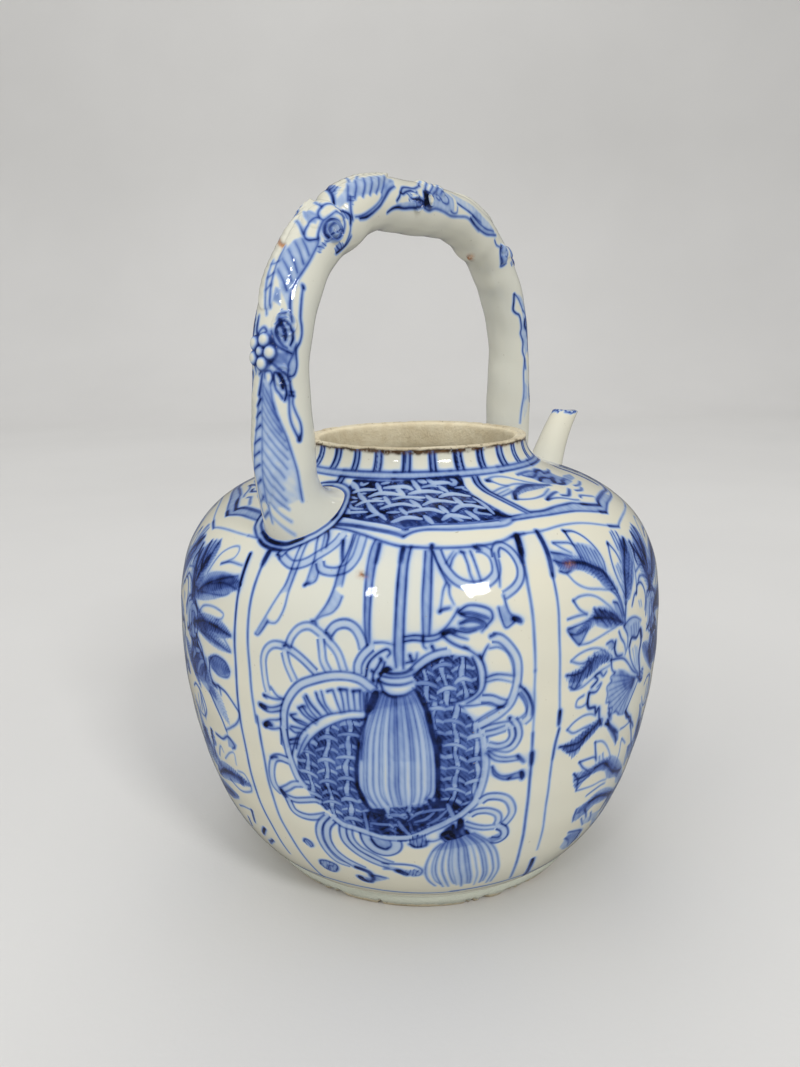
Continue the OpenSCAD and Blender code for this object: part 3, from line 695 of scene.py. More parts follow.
# flowering spray of the panels between the emblems, and their edges
SPRAY = """
# leaf one
f .5 : 4.2,105.9 6.4,105.2 8.7,103.2 11,102.8 13.6,100.9 16.1,99.8 17.4,97.5 18.9,93.8 16.8,94 \
14.9,95.9 13.6,98.6 11,100.2 8.7,100.7 6.4,100.3 4.8,100.9 4.1,103.2
p .9 .8 : 4.2,105.7 6.4,105 9,103.9
p .9 .8 : 3.9,103.8 5.8,102.8 8,102.5
p .9 .8 : 4.5,101.1 5.8,100.5 7.2,100.7
p 1.8 .75 : 8.7,102.5 11.6,101.7 14.2,100.2 16.5,98.6 18.1,95.5
p .8 .75 : 5.9,108 7.7,107.7 10,107.2 11.4,106.3
p .7 .7 : 5.9,107.8 7.4,106.3 9.3,104.7
p 1.3 .95 : 10.9,110.5 11.4,110.2
p .8 .8 : 11.1,110.3 13.6,109.8 15.7,107.8 17.1,104.8 17.8,101.3 17.5,98.8
p 1 .9 : 11.1,110.3 11.1,107.1 11.4,103
p .6 .65 : 11.9,106.1 12,102.5
p .6 .6 : 12.7,106.4 12.8,102.3
p .6 .65 : 13.6,105.8 13.7,101.5
p .6 .6 : 14.5,105.2 14.8,100.8
p .6 .65 : 15.5,104.5 15.8,100.2
p .6 .6 : 16.4,103.8 16.9,99.2
f .2 : 11.4,106.7 14.2,106.3 16.5,105.2 17.4,102.5 17.4,98.6 14.2,101.3 11.4,103.2
p .6 .6 : 6.1,100.2 7.7,97.8 10.3,96.1 13.6,95.2 16.1,94.5 18.3,94.2
p .9 .75 : 18.3,95.2 19.4,92.8 20.4,90.2 21.1,87.1
p .8 .7 : 17.4,94 19.1,92.1 20.4,88.6 21,86.3
# leaf two
p .6 .62 : 5.9,94.2 7.7,94.8 10.3,94.6 12.6,93.6 14.9,91.7 16.8,89.8 18.7,87.4
p .8 .75 : 5.9,94.3 7.1,92.1 9,90.5
f .5 : 11,89.4 11.3,91.7 13.2,90.5 15.5,89.8 17.4,88.6 19.1,87.1 20.8,85.3 18.7,85.5 16.1,85.5 \
13.6,86.2 11.6,87.3
p .9 .7 : 11.1,91.3 12.6,89 14.9,86.3
p .9 .7 : 12.6,90.9 14.2,89 16.1,86.3
p .9 .7 : 14.2,90.2 16.1,88.2 17.8,86.1
p .9 .7 : 15.8,89.4 17.8,87.8 19.4,86.1
p 1.4 .75 : 11,89.2 13.6,88.6 16.8,87.5 20.4,85.5
p .7 .75 : 4,90.5 6.4,90.7 9,90.6
p .8 .75 : 3.8,88.3 6.4,88.6 9,89 11,89.5
p .8 .8 : 3.9,87.8 5.1,85.9 6.5,84.3 8,85.9 9.3,87.5
f .45 : 3.8,88.8 6.4,87.8 9,89 11,89.4 9.7,87.5 7.7,85.9 6.5,84.2 4.8,85.9
p .8 .75 : 4.5,87.1 6.4,86.6 8.7,87.5
p .6 .62 : 6.5,84.2 9,84 11.6,84.4 14.9,85 18.7,85.5
p .8 .7 : 17.4,91.3 18.7,90.7 19.5,89.2 20.4,87.1
f .4 : 17.4,91.3 19.1,90.9 20.7,86.3 19.1,87.5 17.8,89.4
# leaf three
p .6 .62 : 4.4,81.1 6.4,82.1 9,82.5 11.6,82.1 13.6,80.9 15.3,79.2
p .7 .65 : 4.4,80.9 6.7,79.8 8.8,79.7
f .6 : 3.3,78 5.5,78.6 7.1,78.2 9,80.2 11,80.5 12.9,80.2 14.9,79.4 15.7,78.2 12.9,77.8 10.3,76.3 \
7.7,75.5 6.4,74.2 4.5,74.8 3.7,76.3
p 1 .8 : 3.3,77.9 5.5,77.5 7.7,77.8 9.7,79.4
p .9 .7 : 6.1,74.8 7.4,77.1 8.7,79.4
p .9 .7 : 8.7,76.1 9.7,78.2 10.6,80.2
p .9 .75 : 4.2,75 5.5,74.2 7.1,74.6
p .7 .7 : 9,80.5 9.4,79.4
p .7 .7 : 10.6,81.1 11,80
p .6 .6 : 4.5,74.2 7.1,73.9 10,75.1 12.9,76.3 15.7,76.7
p 1.2 .8 : 10.1,73.2 11.9,74.4 11.1,75.5 12.6,75.9 13.6,74.8 14.6,75.5
p 1.1 .75 : 9.7,72 11.6,71.7 13,73.2 11.8,72.7
p .7 .7 : 7.9,71.9 6.3,71.3 6,69.8 7.4,69.2 9.1,69.7
p 1.5 .9 : 9.4,72 9.1,69.8 9.7,68.2 11.4,67.8 11.9,66.2 12.7,67.2 13.2,64.4 14.2,62.3
# leaf four
p .7 .65 : 4.2,64.6 5.8,65.9 8,66.7 10.3,66.5 12,65.5
p .7 .65 : 4.2,64.5 5.8,63.2 8.4,63.5 10.4,63.6
f .6 : 2.5,60.7 4.5,61.1 7.4,62.2 9.3,62.8 11.9,63.7 13.6,64.4 13.9,62.5 11,60.5 8.7,59.2 7.7,57.1 \
6.4,56.3 4.5,58.6
p 1.2 .8 : 2.5,60.7 4.2,60.5
p 1 .75 : 4.5,60.3 7.7,60.2 11,62.1 13.6,63.6
p .8 .7 : 4.8,58.6 7.4,58.6 9,60.2
# top fan
p .8 .72 : 22.4,104.5 21,101.7 20.4,98.6 20.7,95.5 22,91.5
p .8 .75 : 22.5,104.5 23.6,101.7 23.9,99.2
p 1.2 .85 : 22.1,104.2 22.6,104.6
f .5 : 22,90.9 22.6,94.8 23.6,97.8 24.9,99.8 25.9,102.5 27.8,104.4 30.1,103.9 30.4,100.9 29.1,97.8 \
27.5,94.8 25.5,92.5 23.9,90.2
p 1 .7 : 26.2,106.5 25.5,104.4 25.1,102.1
p 1 .7 : 27.3,106.7 26.7,104.4 26.2,102.5
p 1 .75 : 28.8,106.1 28,103.6 27.2,101.7
p 1.2 .8 : 30.1,104.1 29.3,102.1 28.1,100.5
p 1.4 .75 : 30.1,103.8 27.2,100.9 24.9,98.2 23.3,95.2 22.1,90.9
p .7 .55 : 29.1,100.2 26.8,97.5 24.6,94.8
p .7 .55 : 28.8,97.8 26.8,95.5 24.9,92.5
p .7 .6 : 30.6,103.9 30.7,100.9 29.5,97.5 28.2,94 27.4,90.7
p .7 .5 : 21.7,98.6 21.8,95.9
p .7 .5 : 22.5,99 22.6,96.7
p 1.4 .9 : 32.4,102.5 32.1,100.2 31.1,98.6 31.1,96.9
p 1.2 .7 : 22.1,90.2 21.5,87.1 21.1,84.8
# flower
p 1 .85 : 27,90.5 28.1,92.4 30.1,92.5 31.6,90.5 32,87.8 31.1,85.5
p .9 .8 : 24.6,88.4 26,90.5 27.2,90.9
p .7 .5 : 28,88.5 28.5,86.9
p .7 .5 : 29.1,88.3 29.5,86.7
f .3 : 20.7,84.6 23.9,85.5 28.6,83.5 27.2,81.2 24.6,80.8 22,81.6
p .8 .75 : 20.7,84.7 23.3,85.6 25.9,85.2 28.6,83.6
p .6 .55 : 23.6,83.6 23.8,81.3
p .6 .55 : 24.9,83.8 25.1,81.3
p .6 .55 : 26,83.6 26.1,81.5
p .6 .55 : 27.2,83.4 27.1,81.7
p 1.6 .92 : 22.9,78.9 23.9,80.8 26.2,80.1 28.1,81.6 29.2,79.2
p 1.6 .92 : 28.1,81.1 28.8,78.2 28,75.5 28.2,72.5 28.8,69.6
p .8 .75 : 23,78.2 23.9,75.5 25.5,72.8 27.7,70.5
p .6 .4 : 24.6,77.8 26.3,72.7
p .6 .4 : 25.6,78.2 27.2,72.3
p .6 .4 : 26.6,77.5 27.6,73
p .9 .8 : 16.1,77.9 18.1,77.5 20.7,76.7 22.8,74.7 25,72.1 27.9,70.1
p .9 .8 : 16.1,77.8 16.5,75.5 17.5,74.3
f .34 : 17.5,74.8 20.7,73.6 23.3,71.7 27.2,69.8 25.9,66.3 24,64.4 23.3,62 20,62.5 17.4,64.8 15.5,67.8 \
15,71.3
f .4 : 18.7,74.8 21.3,73.6 23.9,71.3 27.2,69.8 25.2,67.5 22,68.2 20,71.3
p .7 .6 : 17.6,74.2 16.1,73.6 16.5,72.5 14.9,71.7 15.2,69.8 15,67.8 16.1,67.4 16,65.9 17.4,65.5 17.5,64 \
19.1,63.9 20.7,62.4 23.3,61.7
p .5 .55 : 25.9,69.8 20.7,72.5 17.4,73.6
p .5 .55 : 25.9,69.7 20.4,71.3 16.5,72.1
p .5 .55 : 25.9,69.5 20,70.3 15.7,70.5
p .5 .55 : 25.8,69.4 20,69.4 15.7,68.8
p .5 .55 : 25.7,69.2 20.4,68.2 16.1,67.1
p .5 .55 : 25.6,69 20.7,67.1 17.1,65.5
p .5 .55 : 25.5,68.7 21.3,65.9 18.4,64
p .5 .55 : 25.4,68.4 22,65.2 20,62.8
p .5 .5 : 25.3,68 23,64.8 22,62.1
p 1.5 .8 : 27.3,69.8 29.1,68.2 30.7,67.8
f .6 : 27.8,70.2 29.1,70.5 30.7,71.3 31.1,69.4 30.4,66.7 28.8,67.1
p 1.3 .88 : 17.4,82 17.1,80.2 18.1,78.2 20.1,77.8
p .9 .75 : 18.7,83.9 19.5,82.1 20.7,80.5 21.4,78.6
p .8 .7 : 20.7,84.4 22,82.1 22.1,79.4 21.3,77.5
f .45 : 14.5,82.4 16.5,82.7 17,80.9 15.2,80.8
p .8 .72 : 14.4,82.3 16.1,82.5 17.2,81 16.1,80.5
p 1 .82 : 23.3,62.1 24.6,64 26.5,66.3 27.9,68.2
p 1.3 .9 : 23.2,62.1 24.2,60.2 26.1,59.4 27.3,57.5
p 1.6 .85 : 15.5,62.1 17.1,60.9 18.7,59.4 20.8,57.5
p 1 .75 : 16.1,64.8 16.6,63.6 17.1,64 17.4,62.5
p 1.3 .82 : 34.6,80.2 35.6,82.4 37.6,82.1 38.9,79.4 38.5,76.3 36.7,74.2
p .9 .6 : 34.8,79.8 35.3,78.2 36.6,77.1
f .4 : 32.3,73.2 35.3,75.2 38.8,73.2 43.4,69.8 46,66.7 43.4,67.1 38.5,69 34.3,70.5
p 1.4 .85 : 32,80.2 33.6,80.9 34.3,82.1
p .8 .5 : 33,89.4 35.3,89 38.5,87.8 42.7,86.3
p 1 .6 : 33.6,101.3 33.9,97.8 35.3,95.5
p 1.1 .65 : 36.2,104 36.6,100.2 37.5,96.7
p 1.1 .65 : 38.2,104.8 37.9,101.3 38.8,97.8
p 1.1 .6 : 40.4,105.5 39.8,101.7 39.8,98.6
f .3 : 33.3,101.3 36.2,104 40.1,105.5 42.1,104 41.1,97.8 39.8,94 36.2,94.8 34.3,96.7
p .8 .6 : 29.1,95.5 30.7,95.9 33,96.3 34.3,94.8
p .9 .7 : 29.1,93.2 30.4,94 32.3,93.6 34.3,92.5 35.3,90.9
p .9 .65 : 36.2,92.5 38.2,92.1 39.2,90.9
p .8 .6 : 36.9,79.8 37.9,77.8 37.2,75.9
p 1.6 .8 : 16.1,62.9 17.4,60.2 19.1,58.3 20.7,55.9 21.1,54.3
p 1 .75 : 16.3,65.8 16.8,63.7 16.4,61.7
f .5 : 16.1,62.5 18.7,60.2 21.3,57.5 22,54.8 20.4,54.8 18.1,57.9 16.5,60.2
p .7 .65 : 22,57.9 23.9,57.7 26.3,57.9
p 1.3 .85 : 23.3,62.2 24.9,60.2 26.2,58.3 28.1,56.8 29.8,54.8
p .8 .6 : 23.7,54.5 25,53.3 26.6,51.7
p .8 .5 : 23.7,53.7 24,50.6 23.7,47.5
p 1.2 .7 : 27.2,56.8 29.1,53.7 31.1,49.8 33,47.5
f .35 : 28.5,49.8 30.4,49.5 31.7,46 32.7,41.4 30.7,42.9 29.1,46
p 1.2 .7 : 31.7,60.2 33,57.5 34,53.3 34.3,48.7
f .4 : 32,59.1 34.3,58.3 36.2,53.3 36.9,48.7 34.3,48.3 32.3,53.7
# leaf five
p .6 .62 : 12.7,58.3 14.9,57.7 16.8,56 18.7,53.3 20.1,50.5
p .9 .82 : 12.7,58.3 13.4,55.6 14.3,52.5
p .8 .75 : 8.7,54.5 11,54.3 13.2,54 14,53.2
p .8 .75 : 8.7,54.4 10,52.5 11.7,50.9
p .6 .6 : 15.2,53.3 15.7,51.2
p .6 .6 : 16.3,53.7 17,51.2
f .55 : 7.4,51.8 9.7,51.4 11.9,51.3 14.2,50.6 17.4,51.4 19.4,50.6 20.7,49.1 22.6,47.5 25.9,44.5 \
28.9,42.9 28.1,40.5 25.5,42.1 22.6,43.2 20.7,44.4 18.7,47.5 16.1,49 13.6,49 11,47.9 9.3,46 8,48.3
p 1 .8 : 7.5,51.7 9,49.5 9.4,46.2
p 1.5 .75 : 14.2,50.6 17.4,50.4 20,48.3 22.6,45.6 25.9,43.7 28.8,42.5
p .8 .7 : 8,49.8 11,49.5 13.2,49.8
p .8 .7 : 8.7,47.9 11,48.5 12.6,49.1
p .6 .6 : 9.4,46 11.6,45.6 14.9,45 18.1,44.8 20.7,44
p .8 .65 : 13.7,42.5 15.5,42.9 18.7,43.2 20.7,42.8
# leaf six
f .55 : 11.3,39.5 13.2,40.2 15.5,39.8 18.1,40.6 20.7,39.8 23.9,38.3 27.2,36.8 28.8,35.2 27.2,34.4 \
23.9,35.5 20.7,36.3 18.7,37.1 16.1,35.9 14.2,35.2 12.3,34.8 11,37.1
p 1 .8 : 11.3,39.4 11.1,37.2 11.6,35.2
p 1.5 .78 : 15.5,39.5 18.7,39.5 22,38.3 25.5,36.4 28.5,35.2
p 1.2 .75 : 14.9,37.5 16.1,35.6 17.4,33.3
p .8 .7 : 14.9,34.5 16.1,32.5 17.5,30.6
p 2 .9 : 27.2,36 26.5,33.3 25.9,31
p 1 .6 : 18.7,34.5 20,32.2 20.4,30.2
f .25 : 16.1,32.9 20.7,32.9 25.9,31.4 25.9,28.3 20.7,29.8 17.4,30.6
# leaf seven
f .32 : 11.8,31.2 14.9,30 17.4,29.1 18.9,27.2 18.7,24.5 17.4,21.8 15.5,21.8 13.2,23.3 11.4,25.6 11.6,28.3
p .9 .65 : 11.8,31.2 14.2,30.2 16.8,29.1 19.1,27.5
p 1.6 .75 : 18.4,27.2 18.1,24.5 17.1,22.2
p .8 .55 : 11.4,29.1 13.6,27.2 15.5,23.7
f .35 : 22.6,29.5 26.5,27.5 29.8,24.5 27.2,24.1 23.9,26
# right side leaves
p .6 .6 : 41.5,97.1 43.6,102.1 46.2,104.6 48.9,105.6 50,104.5 49.6,102.8 47.8,101.5 45.7,100.2
f .42 : 38.3,91.4 40.4,94 43.6,96.5 47.8,98.1 53.1,99 54.4,98.1 51,95.9 47.8,94.5 44.6,93.2 40.4,91.4
p .8 .7 : 45.7,100.4 48.9,101.5 53.1,101.5
p 1 .7 : 38.3,91.5 42.5,94.6 47.8,97.1 53.1,99
p .8 .65 : 44.6,95.2 49.4,96.5 54.6,95.9
p .6 .6 : 39.9,92.1 44.6,92.8 49.9,93.7 51.7,94.6
p .6 .62 : 40.4,87.1 42.5,89.3 46.7,90.2 50.5,89.6 50,88.2 47.8,87.4
f .55 : 37.8,84 40.4,85.9 44.1,86.8 48.9,86.5 53.1,85.1 49.4,84.5 44.6,83.9 41,83.2
p 1 .75 : 37.8,84 42.5,85.6 47.8,85.9 53.3,85.1
p .7 .7 : 45.2,82.8 48.9,82 53.2,81.1 51.1,83.9
p .7 .65 : 41.5,82.8 45.2,82 48.9,81.5
f .45 : 45.2,77.1 47.8,78.4 51,78.1 52.3,76.2 51.5,74.5 48.3,74 45.7,74.9
p .8 .72 : 45.2,77.1 47.8,78.5 51,78.1 52.4,76.2 51.5,74.4 48.3,73.9 45.6,74.9
p 1.1 .8 : 44.9,76.5 44.6,73.4 45.8,70.9 47.9,70.9 48.4,68.9
p 1.6 .85 : 45.4,70.9 47,70.2
p .9 .75 : 47.8,70.9 50.4,70.2 53.1,67.8 54.4,65.9 53.1,63.2 50.4,60.9 48.3,59.5
p 1.2 .85 : 43.3,67.8 45.2,65.2 47.3,62.1 48.4,58.9
l 4 .42 : 44.4,68.7 47.3,66.2 50.2,61.8
p 1.2 .82 : 42.5,55.8 45.7,55.8 48.4,57.6 50.5,55.8 49.3,54.6
f .45 : 48.3,58.4 51.5,56.5 50.4,54.9 47.8,54.6
f .6 : 37.3,41.4 40.4,44.6 44.6,46.5 48.9,46.5 52.1,45.9 49.9,44.5 44.6,44.5 41.5,43.2
p 1.6 .8 : 37.3,41.5 41,44.3 45.7,45.6 49.9,45.9
p .7 .65 : 43.6,42.8 47.8,41.5 51.5,42.8 53.2,44.6 52.1,48.4 49.4,48.2
p 1.2 .85 : 48.9,46.5 49.9,45.2
p .6 .6 : 44.6,49.6 47.8,52.8 49.7,53.4 49.5,50.1
p .8 .6 : 41.5,49 43.6,52.8 44.6,51.5
f .45 : 32,32.8 36.2,35.9 40.4,37.8 44.9,37 40.4,34.5
p 1.3 .75 : 33.1,34 37.3,36.5 42.5,37.1
p .8 .6 : 42.5,33.4 45.7,34.9 49.9,35.9
p 1 .7 : 49.6,35.9 48.9,33.4 48.2,30.6
p 1.4 .85 : 52.1,30.9 50,27.8
p 1 .7 : 53.2,26.5 50,24.5
p 1 .6 : 37.3,79 38.8,76.5 39.4,72.8
p 1.2 .8 : 38.8,80.9 41.2,78.4 42,75.9
f .4 : 35.2,75.2 39.4,77.1 43.6,76.5 44.1,70.2 39.9,69 35.2,69
p .9 .7 : 32.6,100.6 34.1,97.1 35.1,93.4
p .9 .7 : 39.6,100.6 38.2,97.1 36.8,94
p 1 .7 : 33.6,87.8 36.2,89 39.9,87.8
f .3 : 32.5,87.1 37.8,88.4 38.8,81.5 35.2,79 32.5,81.5
# midribs of the leaves, worked over
l 3.4 .62 : 19.1,93.6 16.5,97.1 13.6,99.8 11,101.7 8.4,102.5 5.6,102.5 4.2,103.2
l 3.2 .58 : 20.8,85.3 17.4,87.5 14.2,89.2 11.6,89.4 8.7,87.8 5.8,86.9
l 3.7 .66 : 15.8,78.4 12.6,79.6 9.3,78.4 6.4,76.9 4.2,76.3
l 3.4 .66 : 13.9,63.4 11,62.3 8,60.5 5.5,59.4 3.2,60
l 5 .5 : 22,90.2 23.8,94.8 25.9,98.6 28.1,101.7 29.9,103.7
l 5 .5 : 37.9,83.2 37,87.8 36.1,92.5
l 5 .6 : 38.5,97.5 39.8,101.3 40.9,105
p 1.3 .8 : 33.8,101.3 34,97.8 35.6,95.2
p 1.4 .8 : 36.6,101.3 36.9,98.6 38.2,96.7
l 4.4 .6 : 34.6,75.2 36.9,77.8 39.6,80
l 4.8 .6 : 39.8,74.4 43,71.7 46,67.1
l 4 .45 : 39.8,87.1 42.7,84.8 45.6,81.3
l 3.7 .66 : 29,42.5 25.9,44.5 22.6,47.3 19.4,49.7 14.2,50.4 9.3,49.5
l 3.5 .66 : 28.8,35.3 24.6,37.5 20.7,39.2 17.4,39.7 13.9,38.5 11.8,37.7
l 4.6 .42 : 19.1,24.5 16.5,26.8 11.9,29.3
l 4.4 .6 : 33,49.5 34.6,51.8 36.9,54.5
l 4 .5 : 27.2,42.2 30.1,39.8 33.2,37.2
l 4.4 .6 : 29.1,31.4 31.7,28.7 34.9,25.2
# the spray seen at the left of the pot
p 1 .85 : 36.1,104 35.8,98.4 35.4,90.9
p 1 .8 : 39.1,101.2 37.7,97.4 36.4,93.7
p 1 .85 : 32.2,101.5 33.5,97.6 34.6,93.1
w 1.4 .2 : 35.7,86.5 37.3,87.4 38.8,86.5
w 1.2 .25 : 35.2,81.5 36.7,82.4 38.3,81.5
l 6.4 .8 : 37.3,91.1 43.1,94.1 49.4,96.2 54.7,97.2
l 5 .8 : 37.5,83.6 43.6,85.1 49.4,85.6 53.5,85.1
l 3 .7 : 41,82.8 45.7,82.4 49.9,81.8 53.1,81.2
l 4.4 .62 : 44.9,76.5 48.9,76.5 52.5,76.2
f .62 : 35.2,77.8 37.8,79 42,77.1 43.6,74 39.9,70.2 35.2,69.6 34.1,74
w 1.2 .25 : 35.7,74 37.8,76.5 39.9,77.1
w 1 .3 : 37.8,70.9 39.9,74 42,75.2
p 1.3 .85 : 38.8,79 41.5,76.5 42.8,73.4 41.7,70.2
p 1.1 .8 : 35.2,79 37.3,77.1 38.3,74
p 1.1 .7 : 37.3,65.9 38.3,61.5 37.8,57.8
f .8 : 39.4,55.9 40.7,56.5 41.5,52.1 39.9,50.9 38.8,52.8
p 1.4 .8 : 39.9,55.9 39.4,51.5 37.8,46.5
p 1.2 .7 : 35.2,54 36.7,49 35.2,45.2
l 5.4 .82 : 36.7,41.2 41.5,44.3 46.7,45.6 53.1,45.6
f .8 : 48.6,46.8 50.4,46.6 50.2,43.7 48.6,43.9
l 5 .8 : 27.8,33.4 37.3,36.5 45.2,38.1
p 1.2 .8 : 49.6,35.9 48.9,33.4 48.1,30.9
p 1.9 .92 : 52.3,30.9 50.7,28.9 49.4,27
p 1.6 .7 : 53.3,27.1 51.6,25.2 49.6,23.1
p 1.4 .7 : 45.2,30.9 44.6,28.4 43.6,26.5
l 4.6 .6 : 35.4,89.9 35.8,97.1 36.3,104.6
l 4.6 .6 : 35.1,89.9 33.5,96.2 31.7,102.4
l 4.2 .55 : 35.7,89.9 37.9,95.9 40,101.8
p 1.1 .75 : 31.5,84 33.1,88.7 36.7,89.8 39.4,87.1 39.9,83.4 37.8,79.5 34.1,79 32,81.5
p .9 .65 : 33.6,80.2 34.6,85.9
p .9 .65 : 35.7,79.9 36.2,86.5
p .9 .65 : 37.3,80.9 38.2,85.9
l 4.4 .8 : 30.4,76.5 34.1,72.8 38.6,67
p 1 .7 : 33.1,65.2 35.2,66.5 38.3,65.2 39.9,61.5 37.3,58.4 34.1,59 32.3,62.1
p .8 .6 : 35.2,59.6 35.7,64
p .8 .6 : 36.7,59.9 37.5,64
l 5 .62 : 39.9,45.6 36.7,49 33.8,54.6
l 4.6 .55 : 36.7,44 33.1,46.5 28.8,49.6
l 5 .62 : 33.1,30.6 36.7,26.8 41,20.9
l 4.2 .5 : 28.3,28.4 31.5,24.6 34.6,20.2
# lines at the edges of the panel
p 2.3 .92 : 3.5,111.7 3.2,106.3 2.4,100.5
p 1.1 .6 : 2.4,100.9 2.1,94.8 1.7,87.1 1.7,79.4 1.9,66.7
p 2 .9 : 2,69.8 1.9,66.6
p 1 .6 : 2.1,65.3 1.4,61.3 1.1,58
p 1 .6 : 2.1,65.6 1.1,60.2 1.1,48.7 1.4,42.9 1.9,37.2 2.5,29.5
p 2.4 .92 : 2.5,25.6 3.5,20.6 4.8,14.5
p 1.2 .8 : 54.1,104.6 54.6,95.9 54.6,76.5 54.4,67.1 54.7,60.2 54.9,45.2 55.7,39 56.7,32.8 57.8,24
p 1.8 .88 : 54.1,104.6 54.5,97.8
"""

